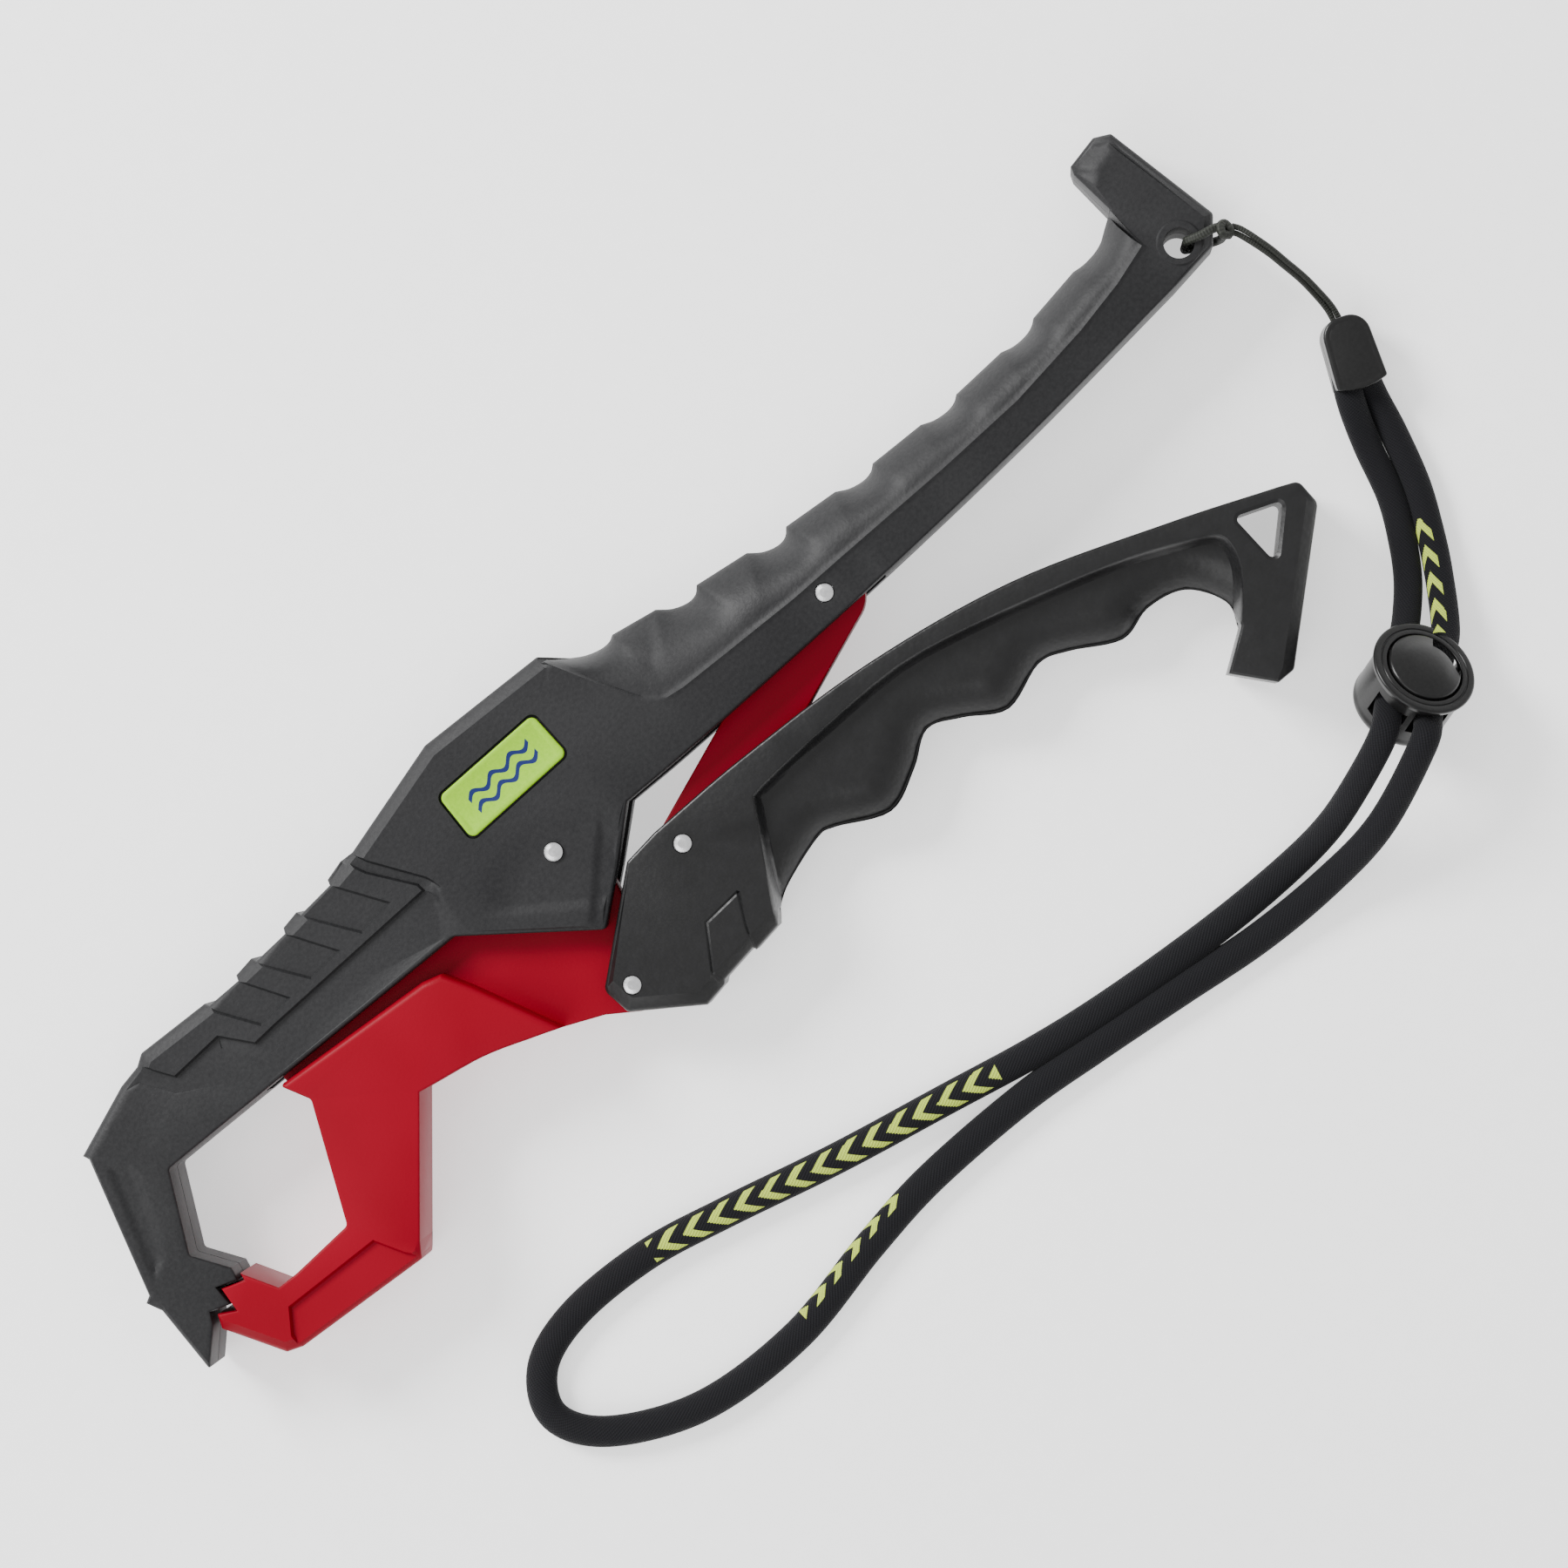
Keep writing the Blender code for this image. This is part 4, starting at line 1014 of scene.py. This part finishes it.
def make_handle():
    outline = anticlockwise(handle_outline())
    inner = smooth(RAIL_INNER, 3)
    grip = [*inner, (90.0, -50.0), (90.0, -60.0), (17.0, -60.0)]
    holes = [circle(JAW_HANDLE_PIVOT, PIN_HOLE_RADIUS), circle(LINK_HANDLE_PIVOT, PIN_HOLE_RADIUS),
             rounded(TRIANGLE_HOLE)]
    lines = beside(outline, (0.08, 0.22, HANDLE_EDGE), True)
    lines += beside(inner, (0.0, -0.2, -0.5, -0.8, -1.1, -RAIL_WALL))
    for line, width, drop in HANDLE_CHAMFERS:
        lines += beside(line, [width if line[0][0] < 0 else -width])
    for line in DIAMOND:
        lines += beside(line, (-DIAMOND_HALF, 0.0, DIAMOND_HALF))
    lines += beside(rounded(TRIANGLE_HOLE), [HOLE_RIM_WIDTH], True)
    material = leather_plastic("handle_plastic")

    def fine(x, y):
        return inside(grip, x, y)

    shell = make_shell(outline, holes, HANDLE_SLOT, lines, handle_height(outline, grip), fine)
    for name, mirror in (("handle_front", False), ("handle_back", True)):
        obj = shell.to_object(name, material, mirror)
        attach(obj, "lower_handle")
        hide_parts(name + "_shell")


make_handle()


# ---------------------------------------------------------------- lower jaw and link

JAW_SHOULDER = ((-42.0, -11.9), (-31.0, -15.0), (-22.9, -18.6), (-18.7, -20.6))
JAW_PANEL = [
    (-80.9, -21.2), (-63.8, -23.2), (-61.6, -28.0), (-58.0, -33.0), (-62.0, -34.0), (-86.0, -30.0),
    (-84.3, -26.8), (-83.9, -24.8),
]
JAW_INNER_EDGE = [(-57.2, 4.6), (-29.5, 0.2), (-26.4, -1.0), (-24.3, -5.7), (-18.7, -20.6)]
JAW_PANEL_DEPTH = 0.8
JAW_OUTER_DROP = 1.5
JAW_OUTER_WIDTH = 1.7
JAW_INNER_EDGE_RADIUS = 1.2
JAW_EDGE = 0.4
JAW_OUTER_EDGE = [(-91.3, -16.2), (-86.5, -26.1), (-84.0, -27.3), (-60.6, -30.8)]


def jaw_head_outline():
    return rounded([
        (-57.2, 4.6, 0.4), (-55.1, -0.5, 1.0), (-65.2, -18.7, 0.8), (-76.3, -18.4), (-79.9, -18.0),
        (-82.7, -12.0), (-83.0, -13.3), (-86.6, -11.7), (-87.3, -15.9), (-89.9, -14.1),
        (-91.3, -16.2, 0.4), (-86.5, -26.1, 0.6), (-84.0, -27.3, 0.6), (-60.6, -30.8, 0.6),
        (-58.6, -28.6, 1.0), *smooth(JAW_SHOULDER, 6), (-24.3, -5.7), (-26.4, -1.0, 1.0), (-29.5, 0.2),
    ])


def jaw_web_outline():
    pivot_eye = arc(JAW_PIVOT, 6.5, 100, -20, 20)
    tail_eye = arc(JAW_HANDLE_PIVOT, 4.5, 0, -120, 20)
    strip = [
        (-12.9, -23.9), (-22.0, -18.9), (-30.0, -14.0), (-50.0, -4.0), (-56.2, 0.5), (-56.6, 4.4),
        (-56.4, 7.0), (-24.0, 4.4), (-10.0, 6.0),
    ]
    return [*pivot_eye, *tail_eye, *strip]


def add_plate(shape, outline, holes, lines, height):
    """A solid whose two faces mirror each other about the tool's middle plane."""
    flat, triangles = cut_sheet(outline, holes, lines)
    tops = height(flat[:, 0], flat[:, 1])
    shape.add_sheet(flat, triangles, tops)
    edges = border(triangles)
    shape.add_walls(flat, edges, tops, 2 * MID_PLANE - np.array([tops[a] for a, b in edges]))
    shape.add_sheet(flat, triangles[:, ::-1], 2 * MID_PLANE - tops)


def add_arm(shape, outline, holes):
    """A flat arm that runs in the slots, with softened edges."""
    outline = anticlockwise(outline)
    lines = beside(outline, [ARM_EDGE * share for share in (0.2, 0.5, 1.0)], True)

    def height(x, y):
        return MID_PLANE + ARM_HALF - edge_drop(distance_to(outline, x, y, True), ARM_EDGE)

    add_plate(shape, outline, holes, lines, height)


def jaw_height(outline):
    def height(x, y):
        z = np.full(np.shape(x), BODY_TOP)
        z = z - JAW_PANEL_DEPTH * ramp(depth(JAW_PANEL, x, y), 0.0, 0.4)
        to_outer = distance_to(JAW_OUTER_EDGE, x, y)
        z = np.minimum(z, BODY_TOP - JAW_OUTER_DROP * (1 - to_outer / JAW_OUTER_WIDTH))
        z = z - edge_drop(distance_to(JAW_INNER_EDGE, x, y), JAW_INNER_EDGE_RADIUS)
        return z - edge_drop(distance_to(outline, x, y, True), JAW_EDGE)

    return height


def make_jaw(material):
    outline = anticlockwise(jaw_head_outline())
    shape = Shape()
    lines = beside(outline, (0.06, 0.18, JAW_EDGE), True)
    lines += beside(anticlockwise(JAW_PANEL), (0.0, 0.4), True)
    lines += beside(JAW_OUTER_EDGE, (0.8, JAW_OUTER_WIDTH))
    lines += beside(JAW_INNER_EDGE, (-0.2, -0.4, -0.7, -JAW_INNER_EDGE_RADIUS))
    add_plate(shape, outline, [], lines, jaw_height(outline))
    pin_holes = [circle(JAW_PIVOT, PIN_HOLE_RADIUS), circle(JAW_HANDLE_PIVOT, PIN_HOLE_RADIUS)]
    add_arm(shape, jaw_web_outline(), pin_holes)
    jaw = shape.to_object("jaw", material)
    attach(jaw, "lower_jaw")
    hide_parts("lower_jaw")


def stadium(start, end, left, right, steps=24):
    """A bar's outline round two points: left and right are its half widths."""
    start, end = Vector(start), Vector(end)
    along = (end - start).normalized()
    across = Vector((-along.y, along.x))
    radius = (left + right) / 2
    middle = across * (left - right) / 2
    points = []
    for place, first in ((end, 90.0), (start, -90.0)):
        for i in range(steps + 1):
            angle = math.radians(first - 180.0 * i / steps)
            points.append(place + middle + (along * math.cos(angle) + across * math.sin(angle)) * radius)
    return [(p.x, p.y) for p in points]


LINK_SLOT_RUN = (2.75, -0.25)
LINK_SLOT_HALF = 1.95


def make_link(material):
    shape = Shape()
    slot_end = (LINK_HANDLE_PIVOT[0] + LINK_SLOT_RUN[0], LINK_HANDLE_PIVOT[1] + LINK_SLOT_RUN[1])
    holes = [circle(LINK_BODY_PIVOT, PIN_HOLE_RADIUS),
             stadium(LINK_HANDLE_PIVOT, slot_end, LINK_SLOT_HALF, LINK_SLOT_HALF)]
    add_arm(shape, stadium(LINK_HANDLE_PIVOT, LINK_BODY_PIVOT, 4.4, 6.4), holes)
    link = shape.to_object("link", material)
    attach(link, "link")
    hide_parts("link_arm")


red = red_plastic("jaw_plastic")
make_jaw(red)
make_link(red)


# ---------------------------------------------------------------- badges and pins

BADGE_RISE = 0.12
BADGE_EDGE = 0.3
BADGE_RIM_STEP = 0.08
BADGE_FOOT = 0.7


def make_badges():
    outline = anticlockwise(rounded(BADGE_OUTLINE, 8))
    material = badge_finish("badge_lime", (*placed(2.9, 14.1)[:2], 0.0))
    lines = beside(outline, (0.05, 0.15, BADGE_EDGE, 0.75, 0.95), True)
    flat, triangles = cut_sheet(outline, [], lines)
    d = distance_to(outline, flat[:, 0], flat[:, 1], True)
    tops = BODY_TOP + BADGE_RISE - edge_drop(d, BADGE_EDGE) - BADGE_RIM_STEP * ramp(d, 0.75, 0.95)
    shape = Shape()
    shape.add_sheet(flat, triangles, tops)
    edges = border(triangles)
    shape.add_walls(flat, edges, tops, np.full(len(edges), BODY_TOP - BADGE_FOOT))
    for name, mirror in (("badge_plate_front", False), ("badge_plate_back", True)):
        badge = shape.to_object(name, material, mirror)
        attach(badge, "body")
        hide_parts("badge_front" if not mirror else "badge_back")


make_badges()
steel = pin_steel("pin_steel")
for pin in ("jaw_pivot_pin", "link_body_pin", "link_handle_pin", "jaw_handle_pin"):
    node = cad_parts[pin]
    node.data.materials.clear()
    node.data.materials.append(steel)


# ---------------------------------------------------------------- cord lock and cap

def lock_matrix():
    """The cord lock's own axes: local Z runs out through the button."""
    tilt = math.radians(LOCK_TILT)
    axis = heading_vector(LOCK_HEADING) * math.sin(tilt) + Vector((0, 0, math.cos(tilt)))
    side = (-strand_direction().cross(axis)).normalized()
    return axes_matrix(side.cross(axis), side, axis, placed(*LOCK_CENTRE))


def turned(name, profile, steps=96):
    """A solid of revolution about Z: the (radius, z) profile, in millimetres, from top to bottom."""
    shape = bmesh.new()
    verts = [shape.verts.new((radius * MM, 0, z * MM)) for radius, z in profile]
    edges = [shape.edges.new(pair) for pair in zip(verts, verts[1:])]
    bmesh.ops.spin(shape, geom=[*verts, *edges], cent=(0, 0, 0), axis=(0, 0, 1), angle=math.tau, steps=steps)
    bmesh.ops.remove_doubles(shape, verts=shape.verts, dist=0.000005)
    bmesh.ops.recalc_face_normals(shape, faces=shape.faces)
    mesh = bpy.data.meshes.new(name)
    shape.to_mesh(mesh)
    shape.free()
    return add_object(name, mesh)


def box_at(size, matrix):
    """A box of this size in millimetres, for cutting."""
    mesh = bpy.data.meshes.new("cutter")
    shape = bmesh.new()
    bmesh.ops.create_cube(shape, size=1.0)
    bmesh.ops.scale(shape, verts=shape.verts, vec=[side * MM for side in size])
    shape.to_mesh(mesh)
    shape.free()
    obj = add_object("cutter", mesh)
    obj.matrix_world = matrix
    return obj


def cut(obj, cutters):
    """Cuts the cutters out of the object for good, and removes them."""
    for cutter in cutters:
        modifier = obj.modifiers.new("cut", "BOOLEAN")
        modifier.solver = "EXACT"
        modifier.object = cutter
    graph = bpy.context.evaluated_depsgraph_get()
    mesh = bpy.data.meshes.new_from_object(obj.evaluated_get(graph))
    obj.modifiers.clear()
    obj.data = mesh
    for cutter in cutters:
        bpy.data.objects.remove(cutter, do_unlink=True)


WINDOW_LENGTH = 24.0
WINDOW_WIDTH = 5.3
BARREL_WINDOW_HEIGHT = 4.8
BUTTON_WINDOW_HEIGHT = 6.4
BUTTON_WINDOW_RISE = 0.8


def make_lock(material):
    place = lock_matrix()
    barrel = turned("lock_body", [
        (0.0, -5.0), (6.3, -5.0), (6.3, 4.45), *arc((6.55, 4.4), 0.2, 180, 90, 4), (7.1, 4.55),
        (7.2, 4.4), (7.35, 4.4), (7.45, 4.55), *arc((8.15, 4.2), 0.4, 90, -20, 6), (8.35, 3.4),
        (8.0, 3.15), (7.75, 3.0), (7.75, 2.7), (7.75, -4.6), *arc((6.35, -5.6), 1.5, 20, -90, 8),
        (0.0, -7.1),
    ])
    button = turned("lock_cap", [
        (0.0, 6.0), (1.5, 5.97), (2.8, 5.85), (4.0, 5.6), (4.9, 5.25), *arc((5.45, 4.55), 0.6, 70, 0, 5),
        (6.05, -2.5), (5.6, -3.1), (0.0, -3.1),
    ])
    to_local = place.inverted()
    along = to_local.to_3x3() @ strand_direction()
    lean = math.atan2(along.z, along.x)
    for obj, node, body, height, rise in (
            (barrel, "lock_barrel", "lock", BARREL_WINDOW_HEIGHT, 0.0),
            (button, "lock_button", "button", BUTTON_WINDOW_HEIGHT, BUTTON_WINDOW_RISE)):
        cutters = []
        obj.matrix_world = place
        for side in (1, -1):
            shift = to_local @ placed(*strand_in_lock(side, 0.0)) + Vector((0, 0, rise * MM))
            matrix = place @ Matrix.Translation(shift) @ Matrix.Rotation(-lean, 4, "Y")
            cutters.append(box_at((WINDOW_LENGTH, WINDOW_WIDTH, height), matrix))
        bpy.context.view_layer.update()
        cut(obj, cutters)
        obj.data.transform(place)
        obj.matrix_world = Matrix.Identity(4)
        give_surface(obj.data, material, 35)
        bevel = obj.modifiers.new("edge", "BEVEL")
        bevel.width = 0.00012
        bevel.segments = 2
        bevel.limit_method = "ANGLE"
        bevel.angle_limit = math.radians(50)
        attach(obj, body)
        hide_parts(node)


def make_spring(material):
    """The return spring, which the button flattens against the barrel's floor."""
    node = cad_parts["lock_spring"]
    spring = add_object("return_spring", node.data.copy())
    spring.data.materials.clear()
    spring.data.materials.append(material)
    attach(spring, "lock")
    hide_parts("lock_spring")
    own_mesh(spring)


CAP_CENTRE = (145.0, -33.3, 4.6)
CAP_HEADING = -117.0
CAP_TILT = -4.0
CAP_HALF_HEIGHT = 3.1
CAP_EDGE = 0.4
CAP_SEAM = 0.07
CAP_CROWN = 0.012
CAP_HALF_GAP = 0.12
CAP_MOUTH_HEIGHT = 1.0
CAP_MOUTH_HALF = 1.6


def make_cap(material):
    """The clamp's two halves: rounded top, straight sides and a slightly bowed lower edge."""
    tilt = Matrix.Rotation(math.radians(CAP_TILT), 4, "X")
    turn = Matrix.Rotation(math.radians(CAP_HEADING), 4, "Z") @ tilt
    place = Matrix.Translation(placed(*CAP_CENTRE)) @ turn
    outline = anticlockwise(rounded([
        (-6.0, 3.7, 3.2), (-6.0, -3.7, 3.2), (5.0, -4.2, 0.5), (5.7, -2.0), (5.95, 0.0), (5.7, 2.0),
        (5.0, 4.2, 0.5),
    ], 8))
    lines = beside(outline, (0.06, 0.18, CAP_EDGE, 0.75, 0.95, 1.15), True)
    lines += [([(x, -5.0), (x, 5.0)], False) for x in (-4.5, -3.0, -1.5, 0.0, 1.5, 3.0, 4.5)]
    flat, triangles = cut_sheet(outline, [], lines)
    x, y = flat[:, 0], flat[:, 1]
    d = distance_to(outline, x, y, True)
    seam = CAP_SEAM * np.exp(-((d - 0.95) / 0.15) ** 2)
    tops = CAP_HALF_HEIGHT - edge_drop(d, CAP_EDGE) - seam - CAP_CROWN * y ** 2
    edges = border(triangles)
    for name, node, side in (("cap_top", "cap_front", 1), ("cap_base", "cap_back", -1)):
        shape = Shape()
        shape.add_sheet(flat, triangles, tops)
        middles = np.array([(flat[a] + flat[b]) / 2 for a, b in edges])
        mouth = (middles[:, 0] < -5.0) & (np.abs(middles[:, 1]) < CAP_MOUTH_HALF)
        shape.add_walls(flat, edges, tops, np.where(mouth, CAP_MOUTH_HEIGHT, CAP_HALF_GAP))
        shape.add_sheet(flat, triangles[:, ::-1], np.full(len(flat), CAP_HALF_GAP))
        mesh = bpy.data.meshes.new(name)
        verts = [Vector((a, b, c * side)) * MM for a, b, c in shape.verts]
        mesh.from_pydata(verts, [], shape.faces if side > 0 else [face[::-1] for face in shape.faces])
        mesh.transform(place)
        give_surface(mesh, material, 32)
        obj = add_object(name, mesh)
        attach(obj, "lanyard")
        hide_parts(node)


lock_plastic = moulded_plastic(
    "lock_plastic", (0.005, 0.005, 0.005), (0.009, 0.009, 0.009), grain=1700.0, grain_strength=0.1,
    roughness=0.32, coat=0.2
)
make_lock(lock_plastic)
make_spring(steel)
make_cap(lock_plastic)


# ---------------------------------------------------------------- light and floor

def make_floor():
    mesh = bpy.data.meshes.new("floor")
    z = -0.0002
    mesh.from_pydata([(-4, -4, z), (4, -4, z), (4, 4, z), (-4, 4, z)], [], [(0, 1, 2, 3)])
    n = Nodes("paper")
    fibres = n.noise(n.place(), 300.0, 3.0)
    color = n.mix(n.span(fibres, 0.3, 0.7), (0.93, 0.93, 0.93), (0.95, 0.95, 0.95))
    paper = n.finish(Base_Color=color, Roughness=0.9, Emission_Color=color, Emission_Strength=0.9)
    mesh.materials.append(paper)
    floor = add_object("floor", mesh)


def make_light(name, place, energy, size):
    """A square lamp, aimed at the tool's middle."""
    data = bpy.data.lights.new(name, "AREA")
    data.energy = energy
    data.size = size
    light = add_object(name, data)
    light.location = place
    light.rotation_euler = (-Vector(place)).to_track_quat("-Z", "Y").to_euler()


make_floor()
world = bpy.data.worlds.new("studio")
world.use_nodes = True
world.node_tree.nodes["Background"].inputs["Color"].default_value = (1, 1, 1, 1)
world.node_tree.nodes["Background"].inputs["Strength"].default_value = 0.8
bpy.context.scene.world = world
make_light("key", (-0.15, 0.85, 0.65), 16.0, 0.4)
make_light("fill", (-0.7, -0.1, 0.6), 4.0, 0.8)
